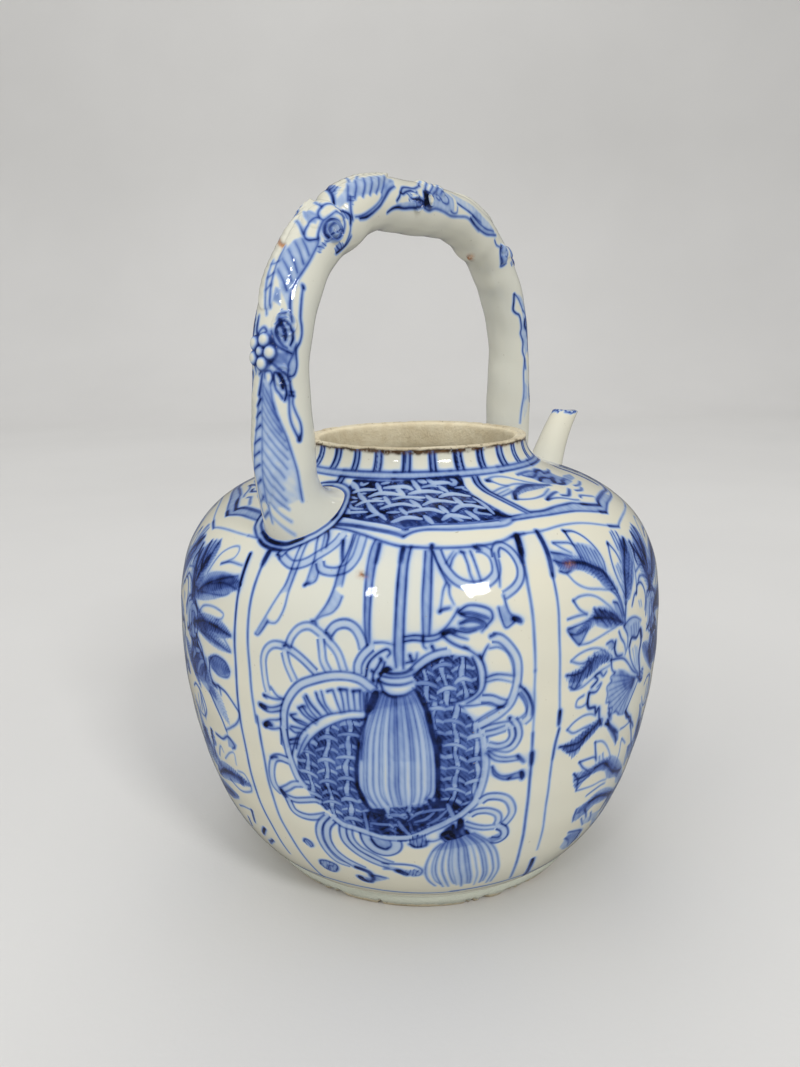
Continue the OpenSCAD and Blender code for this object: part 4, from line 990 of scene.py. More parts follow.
# shoulder over an emblem panel: white interlace in a dark ground, and the lobed border
LATTICE = """
# lattice
g .84 : 4,133.5 12.8,133.7 29.7,134 31.8,134.6 40.2,135.1 51.6,135.4 53,134 52.2,131 53.4,127 \
55.1,123.5 57.9,119 59.3,117.1 55,116.6 46.5,116.4 38.1,116.6 31,115.5 28.9,116.1 23.4,117.3 17.1,118.1 \
10.3,118 0.1,117.4 2,120.5 4.1,124 6.2,128 7.5,131
f .35 : 5.9,132.9 12.8,133.2 23,133.5 23.8,131 17.1,129.5 14.5,122.5 8.6,125
f .4 : 36.4,134.8 51.6,135.3 52.4,133.5 52,131 47.8,130 42.3,133
p 1.6 .95 : 7.4,133.2 9.9,133.5 13.7,133.4 17.1,133.2
p 1.4 .93 : 12.8,133.5 14.5,131.8 16.2,133.5
p 1.6 .95 : 29.3,133.8 31,133.5 32.2,133.2
p 1.5 .93 : 38.1,118.8 39.8,118 41.9,119
p 1.4 .9 : 30.5,116.5 32.6,118 34.8,116.8
p 1.6 .93 : 45.7,131 48.2,130.5 50.8,130
p 1.4 .9 : 54.6,120 56.7,118 58.8,117.2
p 1.4 .9 : 21.3,120.8 24.6,121 27.2,120
w .98 .14 : 4.4,132.9 7,132.9 9.9,130.8
w 1.22 .06 : 8,132.8 10.3,131.5 12.6,129.8
w 1.34 .06 : 10.5,128.8 12.4,129.9 15,130.5 18.7,130.6
w 1.1 .11 : 6,130.5 8.3,130
w .98 .11 : 11.6,132.9 12.8,132.2 14.5,132.9
w 1.22 .08 : 18.1,132.9 19.6,131.5 21.1,129.9
w .98 .14 : 20.2,132.9 23,133.4
w 1.46 .05 : 21.8,131.4 25.5,131.8 29.7,131.9 32.1,130.9
w 1.22 .06 : 32,134.2 33.9,132 35.2,130.1
w 1.46 .05 : 31.3,129.2 33.9,129.9 38.1,130.1 42.8,129.4
w 1.46 .07 : 34.8,134.1 37.3,133.4
w 1.46 .06 : 38.1,134.6 40.2,133.2 43.6,133.1 46.5,132.9
w .98 .14 : 36,131.7 39.4,132.2 41.5,131.8
w 1.34 .06 : 42.3,131.8 44.7,129.8
w 1.59 .05 : 41.6,127.4 44,128.5 47.2,128.5 51.4,127.1
w 1.22 .14 : 45.7,133.2 47.8,132.2 49.1,133.2 47.8,134.2
w .85 .16 : 48.2,131 51.6,131
w 1.59 .05 : 17.8,127.7 20.4,129.2 24.6,129.3 28.5,128.7
w 1.34 .06 : 13.2,129 15.8,126.8 17.7,125.2
w 1.34 .06 : 15.5,123.2 17.1,125 20.4,125.8 23.2,125.7
w .98 .11 : 11,127.2 13.9,126.4
w .98 .14 : 10.7,125.2 12.8,124.5 14.5,125.2
w 1.46 .06 : 26.2,126.7 29.3,127.8 33.1,127.6 36.2,127.4
w 1.34 .06 : 26.4,131.4 28,130 29.5,128.6
w 1.22 .07 : 23,127.8 25.5,124.4
w 1.1 .14 : 19.4,126.8 22.1,127
w 1.46 .06 : 23.5,122.4 26.3,123.9 29.7,124.5 33.3,123.4
w 1.46 .06 : 18.7,124.5 21.3,121.5 23.2,120.2
w 1.1 .1 : 10.2,123.9 12.8,122 15.2,119.9
w .98 .14 : 12.6,124 15,122 17.9,122
w 1.34 .07 : 31.8,126.3 33.5,124.5 35,122.8
w 1.46 .06 : 35.9,123.9 38.5,125.5 42.3,125.5 45.9,124.4
w 1.46 .06 : 37.3,128.2 39,125.7
w 1.46 .06 : 46.1,126.8 47.7,123.1
w 1.59 .06 : 44.1,120.9 46.5,122.7 49.9,122.8 53.4,121.2
w 1.46 .07 : 31.3,120.9 34.8,121.9 38.1,122 41.2,120.4
w 1.34 .07 : 40.6,123.2 42.4,120.4
w 1.46 .07 : 27.5,117.4 31,119 35,118.4
w 1.46 .07 : 40.6,117.9 43.2,119.4 48,117.9
w 1.34 .07 : 47.7,120.6 50,117.2
w 1.34 .07 : 35.9,119.5 37.8,116.8
w 1.22 .09 : 28.9,122.5 31,120.2
w 1.1 .11 : 12,119.4 15.8,120.4 19.7,120.8
w 1.1 .11 : 20.4,118.9 23.4,120 25.6,118.2
w .98 .09 : 52.4,126 54.1,122.5 55.1,118.8
w .85 .16 : 48.7,124.8 52,124
w .98 .14 : 51.6,122 50.3,120 54.1,118.5
w .98 .14 : 25.5,120.8 28.9,121
w .85 .16 : 13.7,128.8 15.8,129
w .85 .16 : 33.1,126.8 35.6,126
w .85 .16 : 22.1,124 23.4,124.5
w .98 .14 : 43.2,118.8 45.7,117.2
w .85 .18 : 38.1,126.8 40.7,126.5
w .85 .16 : 52.4,129.5 50.8,130.5
w 1.46 .06 : 2.3,119.8 4.8,121.5 7.4,121
w 1.34 .06 : 4.6,117.8 6.5,119.5 9.1,119.9
w 1.34 .07 : 5.1,123.2 7.8,124.5 9.9,123.9
w 1.22 .07 : 6.7,122.5 8.2,120 9.9,118.5
w 1.34 .06 : 6.7,126 8.6,126.8 10.7,126
w 1.22 .08 : 8.2,129.5 9.9,127
# borders
p 1.6 .8 : 9.9,119.6 12,118.8 15,118.2 19.6,117.5 23.4,117 26.3,116.4 28.9,115.5 31,114.9
p 1.3 .6 : 31,114.9 33.9,115.8 38.1,116 42.3,116 46.5,115.9 50.8,115.9 55,116.2 58.3,116.9
w 1.1 0 : 10.7,118.4 15,117.7 19.6,116.9 25.5,116 29.7,114.8
w 1.1 0 : 32.2,115 38.1,115.5 46.5,115.3 55,115.7
p 1.6 .8 : 8.6,116.2 12.8,115.9 17.1,115.8 21.3,115.2 25.5,114.4 28,113.8 30.6,112.8
p 1.1 .65 : 30.6,112.8 33.1,114.2 36.4,114.8 42.3,114.5 48.7,114.5 55,114.4 57.5,114.9 59.4,116
f .14 : 10.7,117.5 19.6,116.5 31,114 42.3,115.4 58.3,116.1 59.4,116 55,114.9 42.3,114.9 33.1,114.5 \
30.6,113.2 21.3,115.7 10.7,116.4
p 1 .75 : 8.6,116 12.8,114.9 17.1,114.2 21.3,113 25.5,111.5 29.7,110.2 33.9,109.8 38.1,109.5 46.5,109.4 \
52.9,110 57.1,111.4 59.8,111.6
p 1.8 .85 : 8.6,116 10.7,115.4 12.8,114.9
p 1.2 .85 : 57.3,111 56.7,108 56.3,104.5
p 1.2 .8 : 0,117 5,118.6 10,119.4 14,119.4
p 1.1 .7 : 0,115.9 6,116.3 12.6,116.1
p 1 .75 : 0,111 6,113.8 12.6,116
"""

# shoulder over a spray panel: a leafy cartouche, and the lobed border
CARTOUCHE = """
# leaves
p 1 .5 : 2.4,132.6 5.2,133.5 9,133.5 12.7,132.8 16.1,131.5 19.5,130 23.3,128.4
p 1 .6 : 2.3,132.4 4.7,131.8 6.8,130.5 9.2,129.8
p 2 .85 : 2.6,132.6 3.9,132.5
p 2.2 .8 : 5.8,123.5 8.1,126 10.2,127 13.2,128.1 17,128.5 20.3,128.2 23.7,127.5 27.3,126.4
f .5 : 6.8,124.5 10.2,126.5 13.6,127.8 17.8,128.2 22,127.5 26.6,126.2 22.9,125.9 17.8,125.9 13.6,125.9 \
10.2,125.4
p 1 .6 : 5.8,123.4 8.5,122.8 12.3,122.5 17,123 20.3,124 23.7,125
p 1 .5 : 1.2,128 4.7,129 8.1,129.5 12.7,130 17,129.4 20.4,128.4
p 1.2 .5 : 2.6,125.5 6,126.4 8.7,127.4
p .9 .45 : 1.4,126.5 4.7,127.5 8.5,128.5
p 1.6 .75 : 16.1,121 18.6,122 22,122.8 24.6,123
p 1 .7 : 16.1,120.9 19.5,121 22.9,120.2 26.2,118.5 28,118
p 1.6 .8 : 24.3,121.2 26.6,120.5 29.6,121.5 32.2,122.5
p 1.6 .6 : 19.5,133 23.7,133.2 27.9,133.2 30.5,132.9
p 1.4 .6 : 22,132.4 25.8,131 30,131.5 34.2,132.5 37.7,132.4
p 2 .75 : 27.1,129 29.6,129.8 32.6,129.5 34.7,128.5
p 2.4 .8 : 32.1,126.5 34.7,127.9 37.7,128.5
p 2 .8 : 32.5,125.4 35.1,124.8 37.6,125.9 39.8,125.9
p 2 .6 : 31.7,132.5 34.7,132.8 37.7,131.9
f .35 : 23.7,132.5 36.3,132.5 42.7,131 42.7,124 34.2,124 27.9,127 25.8,129.5
p 1.6 .6 : 36.3,131 40.5,130.5 45.6,131
f .35 : 39.7,126.5 46.9,127 53.2,125.5 49,124 42.7,124.5
p 1.4 .6 : 38,122.5 41.8,122 46.9,122.5
p 1.4 .6 : 30.4,118.5 32.1,119 34.7,118 37.3,117
p 1.6 .6 : 33.8,121 36.8,120.4 39.8,121
# border
p 1.3 .75 : -0.9,117.2 4.7,117.8 10.2,117.5 15.3,118 19.5,118 23.7,117.7 26.6,116.5 30.4,115.2 33.8,114
p 2 .8 : 26.6,116.5 30.4,115.2 34,113.9
p 1.8 .75 : 33.8,114 36.3,115.4 40.5,115.9 46.9,115.9 53.2,115
p 1.1 .65 : -0.9,115.9 4.7,116 11.1,115.8 17,115.5 21.2,115 25,114 28.8,112.8 32.6,111.5
p 2 .8 : 30.4,112.4 33,111.5
p 1.1 .65 : 32.6,111.5 35.9,112.5 40.5,113.4 49,113.4
f .25 : -0.9,117.2 10.2,117.5 19.5,118 23.7,117.7 30.4,115.2 33.8,114 36.3,115.4 46.9,115.9 49,113.4 \
40.5,113.4 35.9,112.5 32.6,111.5 25,114 17,115.5 -0.9,115.9
p .8 .55 : -3.7,110.9 0.1,111.5 4.7,111.5 10.2,112 13.6,112 17.8,111.5 21.6,110.5 25.8,109 29.6,107.6 \
32.1,107
p 1.4 .7 : 27.9,108.2 32.1,106.9
p .8 .5 : 32.1,107 34.7,107.8 40.5,108.5 49.8,108.8
p 1.6 .7 : 53.2,115 57,115.4 60,117
p 1 .6 : 49,113.4 54.9,113.8 60,115.9
p .8 .5 : 49.8,108.8 54.9,109 60,111
"""

# leaves, curled buds and a white blossom on the handle
BRANCH = """
# leaf on the front leg
f .24 : -5.7,63.1 -4,64.4 4.3,53.4 10.2,37.8 15.6,23.8 19.8,14.4 19.3,5 8.5,1.2 -4,1.2 -6.5,11.2
f .2 : 7.7,48.1 12.7,36.2 19.3,22.2 19.8,12.8 16.8,9.7 12.7,23.8 8.5,36.2
p .9 .66 : -6.1,63.8 -4,65.6 -1.5,65.3 1,61.9 4.3,55 7.7,47.2 10.2,39.4 12.7,31.6 15.6,25.3 18.7,21.6
p .6 .5 : -3.2,36.2 -0.7,20.6 2.2,3.4
p .6 .5 : -1.1,40.9 1.8,22.2 5,3.4
p .6 .5 : 0.6,46.2 3.9,26.9 7.2,5
p .6 .5 : 2.7,48.1 6,26.9 9.8,3.4
p .6 .5 : 4.8,48.1 8.5,25.3 11.8,5
p .6 .5 : 6.8,45 10.2,23.8 13.9,5
p .6 .5 : 8.9,40 12.2,22.2 16,5
p .6 .5 : 11.4,34.7 14.3,20.6 17.7,5
p .6 .5 : 13.9,28.4 16.4,19.1 18.9,7.5
p .6 .5 : -5.2,36.2 -1.9,14.4 0.2,1.9
p .7 .5 : -6.9,36.2 -4.8,17.5 -2.3,1.2
p .7 .42 : -9,33.1 -6.9,14.4 -4.8,0.3
p .8 .35 : -11.1,30 -9.4,14.4 -7.8,0.3
p .6 .5 : -9,-2.5 -4,-0.6 2.2,1.2 8.5,1.9 14.8,3.4 19.3,6.6
f .26 : -6.5,-2.8 2.2,-0.6 16.8,1.9 19.3,5 14.8,-7.5 8.5,-16.9 0.2,-23.1 -4.8,-20
p .7 .45 : -8.6,-25.6 -4,-25 0.2,-21.2 6.4,-16.2 10.6,-11.2 14.8,-5 18.7,2.5
p .8 .75 : -1.5,-4.4 -2.8,-21.6
p .8 .75 : 1.4,-4.4 0.2,-20.6
p .8 .75 : 4.3,-3.8 3.1,-18.4
p .8 .78 : 7.2,-2.8 6,-16.9
p .9 .82 : 10.2,-1.9 8.9,-14.4
p .9 .85 : 13.1,-1.2 11.8,-12.2
p 1 .9 : 16,0.3 14.3,-9.1
p .8 .72 : -4.4,-5 -5.7,-22.5
p .8 .7 : -7.3,-5.9 -8.6,-23.1
p 1.2 .9 : 16.8,-4.4 19.3,0.3 21,5
# the slim white leaf and the tendrils above it
p .9 .8 : 6.8,72.2 8.5,77.5 10.6,76.2 12.7,69.1 14.8,63.8 16.6,65.9
p .9 .8 : 6.8,71.9 8.5,65 10.6,58.1 12.7,55.6 15.2,56.6 16.8,58.1
p 1.6 .9 : 6.7,71.9 7.6,73.8
p .7 .75 : 16.4,67.5 16.6,56.6
p .7 .75 : 17.3,67.5 17.5,56.6
p 1.1 .85 : 16.8,62.8 19.3,59.7 21,52.5 22.3,36.2 23.4,22.2
p 1 .85 : 15.6,48.1 17.2,52.5 19.3,49.4 20.9,40 21.3,30.6 19.8,29.4 18.1,32.5 17,39.4 15.9,45
p 1.6 .92 : 18.3,45.6 20.2,44.1 21.2,38.8
f .5 : 15.6,56.6 17,56.6 16.8,39.4 15.8,40.9
p 1 .8 : 20.6,58.8 21,70 23.1,75.3 26,72.2 27.7,79.4 29.3,81.6 31,78.4 32.7,72.2 35.2,68.4 37.7,65.3 \
39.3,63.8
p 1.1 .85 : 38.9,65.9 39.4,60.6
p .9 .75 : 21,56.2 23.1,58.1 25.2,66.9 27.2,71.6
f .42 : 21.2,67.5 25.2,74.4 27,70.6 25.4,51.9 24.8,30 22.9,26.9 22.2,48.8
f .6 : 22.7,55 25.2,56.6 25.2,26.9 23.5,22.2
p 1.2 .92 : 26.8,59.7 28.1,63.4 29.3,60.3 30.6,51.9 30.9,39.4 29.3,29.4 27.7,35.6 26.6,45 26.2,53.4
p 1.4 .9 : 27.7,48.8 29.3,47.2 30.7,39.4 31.5,32.5
f .75 : 27.9,48.1 31,48.1 33.5,44.1 33.3,33.1 30.6,25.3 28.5,33.8
w .7 .2 : 28.3,55 29.8,51.9 30.9,42.5
w .6 .3 : 28.1,40.9 29.8,36.2
p 1.1 .88 : 25.2,62.8 25.8,45.6 26.8,30 29.1,20
p .9 .75 : 31.4,56.6 33.5,50.3 36,46.2 39.3,47.8 41.8,53.4 44.3,58.1 46.8,59.7 49.3,59.7 50.7,55
# small white blossom
p 1 .8 : 23.6,22.2 24.8,32.5 26.3,30.6 27,22.2 26.6,11.2 25.2,7.5 23.8,11.2 23.6,22.2
p .9 .75 : 27,9.7 28.7,11.9 29.7,3.4 28.9,-7.5 27.5,-9.1 26.6,-1.2
p .9 .75 : 21,-2.8 22.2,5 23.7,0.3 23.8,-12.2 22.5,-20 21.2,-13.8
p .9 .8 : 23.8,-12.2 24.8,-10.6 25.8,-16.9 25.7,-29.4 24.5,-32.5
p .8 .75 : 19.2,22.2 20.4,26.9 21.6,22.2 21.4,11.2 20.2,10.6
f .75 : 23.8,9.7 25.2,6.6 26.6,9.7 26.8,-4.4 25.8,-15.3 24.8,-9.1 23.9,-4.4
p 1.4 .9 : 28.1,-9.1 29.3,-16.9 31.8,-16.9
# veined leaf that climbs the bend
f .34 : 33.5,48.1 39.3,45.6 44.3,56.6 50.2,58.1 49.8,39.4 47.7,17.5 43.9,5 40.2,8.1 36.8,26.9
p .7 .6 : 37.2,36.2 39.1,23.8 41,8.1
p .7 .6 : 39.3,39.4 41.4,26.9 43.3,9.7
p .7 .6 : 41.4,45 43.5,30.6 45.4,14.4
p .7 .6 : 43.7,50.3 45.6,36.2 47.2,20.6
p .7 .6 : 46,53.4 47.5,40.9 48.6,28.4
f .62 : 34.1,30 37,23.8 37.3,15.6 34.8,15.6
p .8 .6 : 33.5,11.2 37.7,5 41.8,1.9 46,5
p .8 .55 : 32.2,5 35.6,-4.4 39.8,-10.6 43.1,-12.2
p .7 .55 : 37.7,3.4 36.8,-7.5
p .7 .55 : 40.2,3.4 39.3,-10.6
p .7 .55 : 42.7,5 42.2,-12.2
# curled bud on the bend
p 1.1 .85 : 52,70.6 52.3,59.7 53.8,52.5 55.6,53.4 56.8,61.2 57.1,73.8 56,83.1 54.3,85.3 53,82.5 52.2,75.3
p 1 .8 : 53.3,70.6 53.9,78.4 55.4,78.4 56,70.6 55.4,62.8 54.1,62.2 53.3,67.5
f .15 : 52,70.6 53.8,52.5 56.8,61.2 57.1,73.8 56,83.1 54.3,85.3 52.2,75.3
w .7 .1 : 53.5,75.3 54.3,81.6 55.6,80.6
f .85 : 51.4,104.4 54.3,111.9 56.1,115 55.2,105 54.1,95 52.2,95
p 1.2 .92 : 52,108.1 54.3,113.8 56.8,116.9 59,111.2
f .8 : 47.5,70.6 50.2,76.2 52,75.3 51,67.5 49.1,61.9 47.8,65.6
f .75 : 59.1,70.6 60.6,86.2 61.6,76.9 61.6,60.6 60.2,54.4 58.9,61.2
p 1.1 .88 : 60.2,89.4 61.3,76.9 61.1,61.9 60.2,55.6
p .9 .75 : 56,114.4 57.7,108.1 59.3,98.8 60.2,86.2
p .8 .7 : 57,89.4 58.5,80 59,67.5 58.5,54.4
p .9 .75 : 50.6,54.4 51.8,49.4 54.3,45 56,48.1 58.6,53.1
p .9 .75 : 50.2,53.4 49,39.4 49.8,26.9 52.2,23.1 54.4,29.4 54.8,42.5
p .9 .7 : 54.8,36.2 56,26.9 58.1,26.9 59.8,39.4 60.4,53.4
f .55 : 53.1,36.2 55.2,33.1 56,5 55.6,-4.4 54.1,5 52.9,20.6
p .8 .6 : 49.8,25.3 51.4,11.2 52.7,-4.4
p .8 .6 : 57.7,25.3 58.5,11.2 59.3,-1.2
# leaf over the shoulder of the arch
f .75 : 63.9,65.9 65.9,54.4 65.4,45 63.8,55
p .9 .8 : 61.4,86.2 62.2,73.8 63.5,61.2 65.2,48.1
p 1.2 .85 : 63.9,94.1 66.4,99.4 69.8,98.8 72.7,94.1 74.3,87.8 76.4,76.9 78.5,65.9 81.1,57.5
p .8 .65 : 62.7,86.2 64.3,90.9 66.8,93.1 70.2,91.2 72.7,86.2 74.8,77.5
f .34 : 61,50.3 66.4,56.6 72.7,65.9 77.7,59.7 82.7,36.2 82.7,32.5 77.7,29.4 68.5,26.2 62.2,35.6
f .45 : 73.9,83.1 76.8,73.8 81,57.5 82.7,39.4 81,39.4 77.7,58.1 74.8,72.2
p .7 .65 : 63.5,53.4 65.6,39.4 67.7,23.8
p .7 .65 : 65.6,58.1 68.1,42.5 70.2,25.3
p .7 .65 : 68.1,62.8 70.6,47.2 72.7,28.4
p .7 .65 : 70.6,65.9 73.1,48.8 75,30.6
p .7 .65 : 73.1,67.5 75.2,55 77.2,34.7
p .7 .65 : 75.2,69.1 77.7,51.9 79.8,33.1
f .85 : 63.3,23.8 65.5,20.6 66.9,-13.8 65.2,-14.4 63.9,5
p 1.3 .9 : 61,36.2 62.7,20.6 63.9,5 65.1,-12.2
p .7 .55 : 68.5,22.2 70.2,8.1 71,-4.4
p .7 .55 : 71,23.8 73.1,11.2
p 1.2 .85 : 76.4,111.2 78.5,104.4 81,102.5 83.5,104.1 86,101.2 88.5,97.8 90.6,93.1 92.3,83.8
f .42 : 76.8,110.6 81,105.6 85.2,106.6 91.4,96.2 92,83.1 85.2,90 80.6,96.2
p 1 .82 : 80.4,89.4 81.8,80 82.7,70.6 84.3,58.8 86.8,55 89.3,55 91.4,49.4 93.2,42.5
f .8 : 85.4,90 87.3,83.1 87.2,70.6 85.2,70 85.8,80
p 1.2 .88 : 87.2,83.1 89.3,82.5 91.4,85.6 92.8,88.8
f .68 : 86.8,92.5 92.8,93.1 92.3,73.1 89.3,73.1
p 1 .85 : 82.7,72.2 83.6,73.8 85.2,67.5 87.7,62.5 89.3,66.9 90.2,62.5
p 1 .8 : 92.7,83.1 93.5,90.9 95.2,93.1 96.4,83.1 96.8,70.6 95.6,63.8 93.9,65.9 92.9,73.8
p 1.8 .95 : 92.7,90 92.8,73.8 93.7,60.6 95.6,57.5 97.2,66.9
p .9 .7 : 93.1,42.5 95.2,26.9 96.8,20
p .9 .7 : 94.8,51.9 97.2,36.2 99.4,21.6
p .9 .7 : 96.4,58.8 98.9,43.1 101.9,23.1
p .9 .6 : 98.1,59.7 101,45.6 103.9,26.9
f .4 : 96,89.4 103.9,96.2 107.3,90 108.2,58.1 105.2,36.2 101,38.8 96.8,60.6
p .9 .7 : 101.4,67.5 101.8,75.3 103.9,77.5 105.2,67.5 104.8,54.4 102.7,51.2 101.5,57.5
p .8 .65 : 99.2,67.5 100.2,72.2 101,65.9 100.4,58.1 99.4,60.6
p .9 .65 : 105.6,92.5 107.2,95.6 108.9,92.5 109.4,79.4
p 1.2 .62 : 92.3,96.2 94.8,99.4 97.7,93.1 101.8,96.2 106,102.5 110.2,100.9 114.3,97.8 118.5,105.6 \
122,111.2
p 1 .75 : 109.8,70 112.2,76.9 115.2,83.1 118.5,88.8 122,90.9
f .25 : 109.8,70.6 115.2,83.1 122,90.9 122,67.5 114.3,55 108.1,39.4
# rear bend
p 1.1 .8 : 116,96.1 118.5,103.2 121,106.8 123.5,107.5 126,105 128,97.9 130,88.9 131.1,82.9
p .9 .7 : 117,88.2 121,95.4 125,95.4 127.6,88.2 129.1,82.9
f .3 : 116,94.3 121,105 126,103.2 131,82.9 126,72.9 119,69.3
p 1.1 .88 : 135.2,86.4 135.8,99.6 137.5,108.6 139.5,115.7 140.3,120 140.8,110.4 141.1,100.7
f .6 : 135.4,86.4 136,101.4 138.5,110.4 140.3,116.4 140.6,97.9 139.1,82.9 138,72.1
w .7 .2 : 138,87.1 138.6,94.3
p .9 .75 : 131,97.9 133,100.4 135.1,93.6
f .7 : 142.5,83.6 144.1,87.1 144.6,69.3 143.2,68.6
p 1.1 .85 : 152,112.1 154.5,118.2 157,125.4 158.6,119.3 160.1,108.6 164,106.8 166,111.1 169,103.9 \
172,107.5 174.6,99.6 177.6,95.7
p .8 .7 : 152.2,110.4 154,102.5 156.1,97.1 158.6,92.1
f .32 : 153,99.6 158.5,93.6 166,104.3 173.5,96.4 172,80 166,71.1 159,72.9 155,83.6
p 1.6 .92 : 162.2,86.4 164,91.4 165.2,86.4
p .8 .6 : 159,90.7 161,80 166,80
p .9 .65 : 174.6,99.6 178.6,104.3 182.5,105 186.1,106.8 188.6,110.4 191.1,113.9 195,118.2
f .2 : 182,100.7 185,104.3 188,104.3 187,92.5 183.5,88.9
f .16 : 175,92.5 182.5,98.6 190,106.8 194,104.3 191,88.9 185,80 178.5,82.9
"""

# left and right edges of the tassels, from top to bottom
BIG_TASSEL = ([(26.4, 78), (24.9, 74), (23.5, 70), (22.5, 66), (22, 60), (21.7, 55), (22.2, 52),
               (24.2, 48.6)],
              [(33, 78.2), (34.3, 76), (35.6, 72.3), (36.6, 67.3), (37.1, 62), (37.2, 57), (37, 54),
               (35.8, 51.2)])
SMALL_TASSEL = ([(38.1, 38.3), (36.4, 35.7), (35.1, 31), (34.9, 27), (35.8, 23.4), (37.4, 20.6)],
                [(45.1, 41), (48.5, 37.7), (50.7, 34), (52.1, 29.3), (52.8, 25), (52.3, 19.5)])
# the curved end of a lattice field: degrees out of the panel's corner, and mm of wall
DIVIDER = ((-2.8, 134.2), (-3.0, 131.5), (-1.6, 128), (0.5, 124), (2.6, 120.5), (4.5, 117.6))


def divider(panel, x, side):
    """The white band and dark double line that end a lattice field on the given side."""
    line = [(x + side * v, s) for v, s in DIVIDER]
    off = [(v + side * (2.3 - 0.15 * i), s) for i, (v, s) in enumerate(line)]
    clear(panel, [(v - side * 4.6, s) for v, s in line] + off[::-1])
    wash(panel, 0.32, line + off[::-1])
    pen(panel, 0.85, 0.88, line)
    pen(panel, 0.95, 0.93, off)


def paint_pot(panel):
    """Three emblems and three sprays in turn, then the shoulder's divisions, the rings round the
    handle's feet and the neck.  What crosses 0 degrees is painted at both ends."""
    for spray in (-360, 0, 360, 120, -120, 240, 600):
        emblem = spray + 60
        paint(panel, EMBLEM_GROUND, emblem)
        paint(panel, EMBLEM, emblem, fine=0.9)
        tassel(panel, BIG_TASSEL, emblem, 15, 0.6, 0.54, 0.13)
        tassel(panel, SMALL_TASSEL, emblem, 13, 0.64, 0.54, 0.08)
        paint(panel, EMBLEM_OVER, emblem)
        paint(panel, SPRAY, spray, fine=0.75, wet=0.75)
        paint(panel, LATTICE, emblem)
        paint(panel, CARTOUCHE, spray, fine=0.8)
    for x in range(0, 361, 60):
        divider(panel, x, -1 if x in (60, 180, 300) else 1)
    for at in (180, 0, 360):
        ring_foot(panel, at)
    paint_neck(panel, np.random.default_rng(7))
    panel.bleed(3.4, 0.28)
    panel.bleed(1.1, 0.4)


def foot_edge():
    """Where a handle's foot meets the pot: degrees from the leg and arc length, all round."""
    s_of, r_of, z_of = outer_profile()
    edge_pts = []
    for k in range(0, 360, 10):
        q = math.radians(k)
        for u in np.linspace(0.5, 1, 80):
            (cx, cz), (ox, oz), r = branch_axis(-u * FOOT_DROP)
            x, y, z = cx + r * math.cos(q) * ox, r * math.sin(q), cz + r * math.cos(q) * oz
            if math.hypot(x, y) < np.interp(z, z_of, r_of):
                break
        edge_pts.append((math.degrees(math.atan2(y, -x)), float(np.interp(z, z_of, s_of))))
    return edge_pts


def ring_foot(panel, at):
    """The double line round a handle's foot, with ink pooled under its outer side."""
    base = foot_edge()
    middle, mm = 119.8, MM_PER_DEG * 0.72    # wall length at the foot's centre, mm in a degree there

    def out(by, first, last):
        """A line by mm outside the foot's edge, over the steps of ten degrees given."""
        line = []
        for k in range(first, last):
            x, y = base[k % 36]
            dx, dy = x * mm, y - middle
            far = 1 + (by + 0.15 * math.sin(k * 0.9)) / math.hypot(dx, dy)
            line.append((at + dx * far / mm, middle + dy * far))
        return line

    clear(panel, out(1.7, 0, 36))
    for first in (0, 9, 18, 27):
        pen(panel, 1.1, 0.74, out(0.2, first, first + 11))
        pen(panel, 1.0, 0.78, out(1.8, first, first + 11))
    pen(panel, 1.6, 0.97, out(0.2, -4, 5), steady=True)
    pen(panel, 1.3, 0.88, out(1.8, -3, 2))


def paint_neck(panel, rng):
    """Two lines round the neck, pairs of short uprights above them, and a line by the foot."""
    for s, w, k in ((136.5, 0.8, 0.66), (134.7, 0.95, 0.78)):
        for x0 in range(-12, 360, 24):
            pts = [(x0 + i * 5, s + 0.2 * math.sin((x0 + i * 5) / 23.0 + s)) for i in range(6)]
            pen(panel, w * rng.uniform(0.85, 1.3), k * rng.uniform(0.85, 1.1), pts)
    wash(panel, 0.16, [(-1, 134.6), (361, 134.6), (361, 136.6), (-1, 136.6)])
    for i in range(31):
        x = 3.5 + 12.0 * i + rng.uniform(-0.7, 0.7)
        gap, lean = rng.uniform(2.3, 3.3), rng.uniform(-0.4, 0.4)
        stripe = [(x, 136.8), (x + gap, 136.8), (x + gap + lean, 142), (x + lean, 142)]
        wash(panel, rng.uniform(0.3, 0.5), stripe)
        wipe(panel, 0.5, 0.12, [(x + gap * 0.62, 137.2), (x + gap * 0.62 + lean, 141.4)])
        for dx, w in ((0, rng.uniform(0.75, 1.25)), (gap, rng.uniform(0.6, 0.9))):
            pen(panel, w, rng.uniform(0.82, 0.98),
                [(x + dx + lean, 142.2), (x + dx + lean / 2, 139.4), (x + dx, 136.9)], steady=True)
    for x0 in range(-8, 360, 46):
        y = 15.8 + rng.uniform(-0.3, 0.3)
        pts = [(x0 + i * 8, y + 0.5 * math.sin(i * 0.9)) for i in range(7)]
        pen(panel, rng.uniform(0.9, 1.3), rng.uniform(0.5, 0.66), pts)


def paint_blossom(panel, l, t, reach, radius, count, turn):
    """White petals with thin outlines, in a dark ground."""
    def ring(cx, cy, r):
        """Twelve points round a circle on the branch, the last on the first."""
        return [(cx + r * math.cos(q), cy + r * math.sin(q) / BRANCH_MM_PER_DEG)
                for q in np.linspace(0, 2 * math.pi, 12)]

    wash(panel, 0.78, ring(l, t, reach + radius * 0.75)[:-1])
    for i in range(count):
        q = turn + 2 * math.pi * i / count
        x, y = l + reach * math.cos(q), t + reach * math.sin(q) / BRANCH_MM_PER_DEG
        clear(panel, ring(x, y, radius * 0.82)[:-1])
        pen(panel, 0.5, 0.7, ring(x, y, radius * 0.84), steady=True)
    clear(panel, ring(l, t, radius * 0.55)[:-1])
    pen(panel, 0.5, 0.8, ring(l, t, radius * 0.58), steady=True)


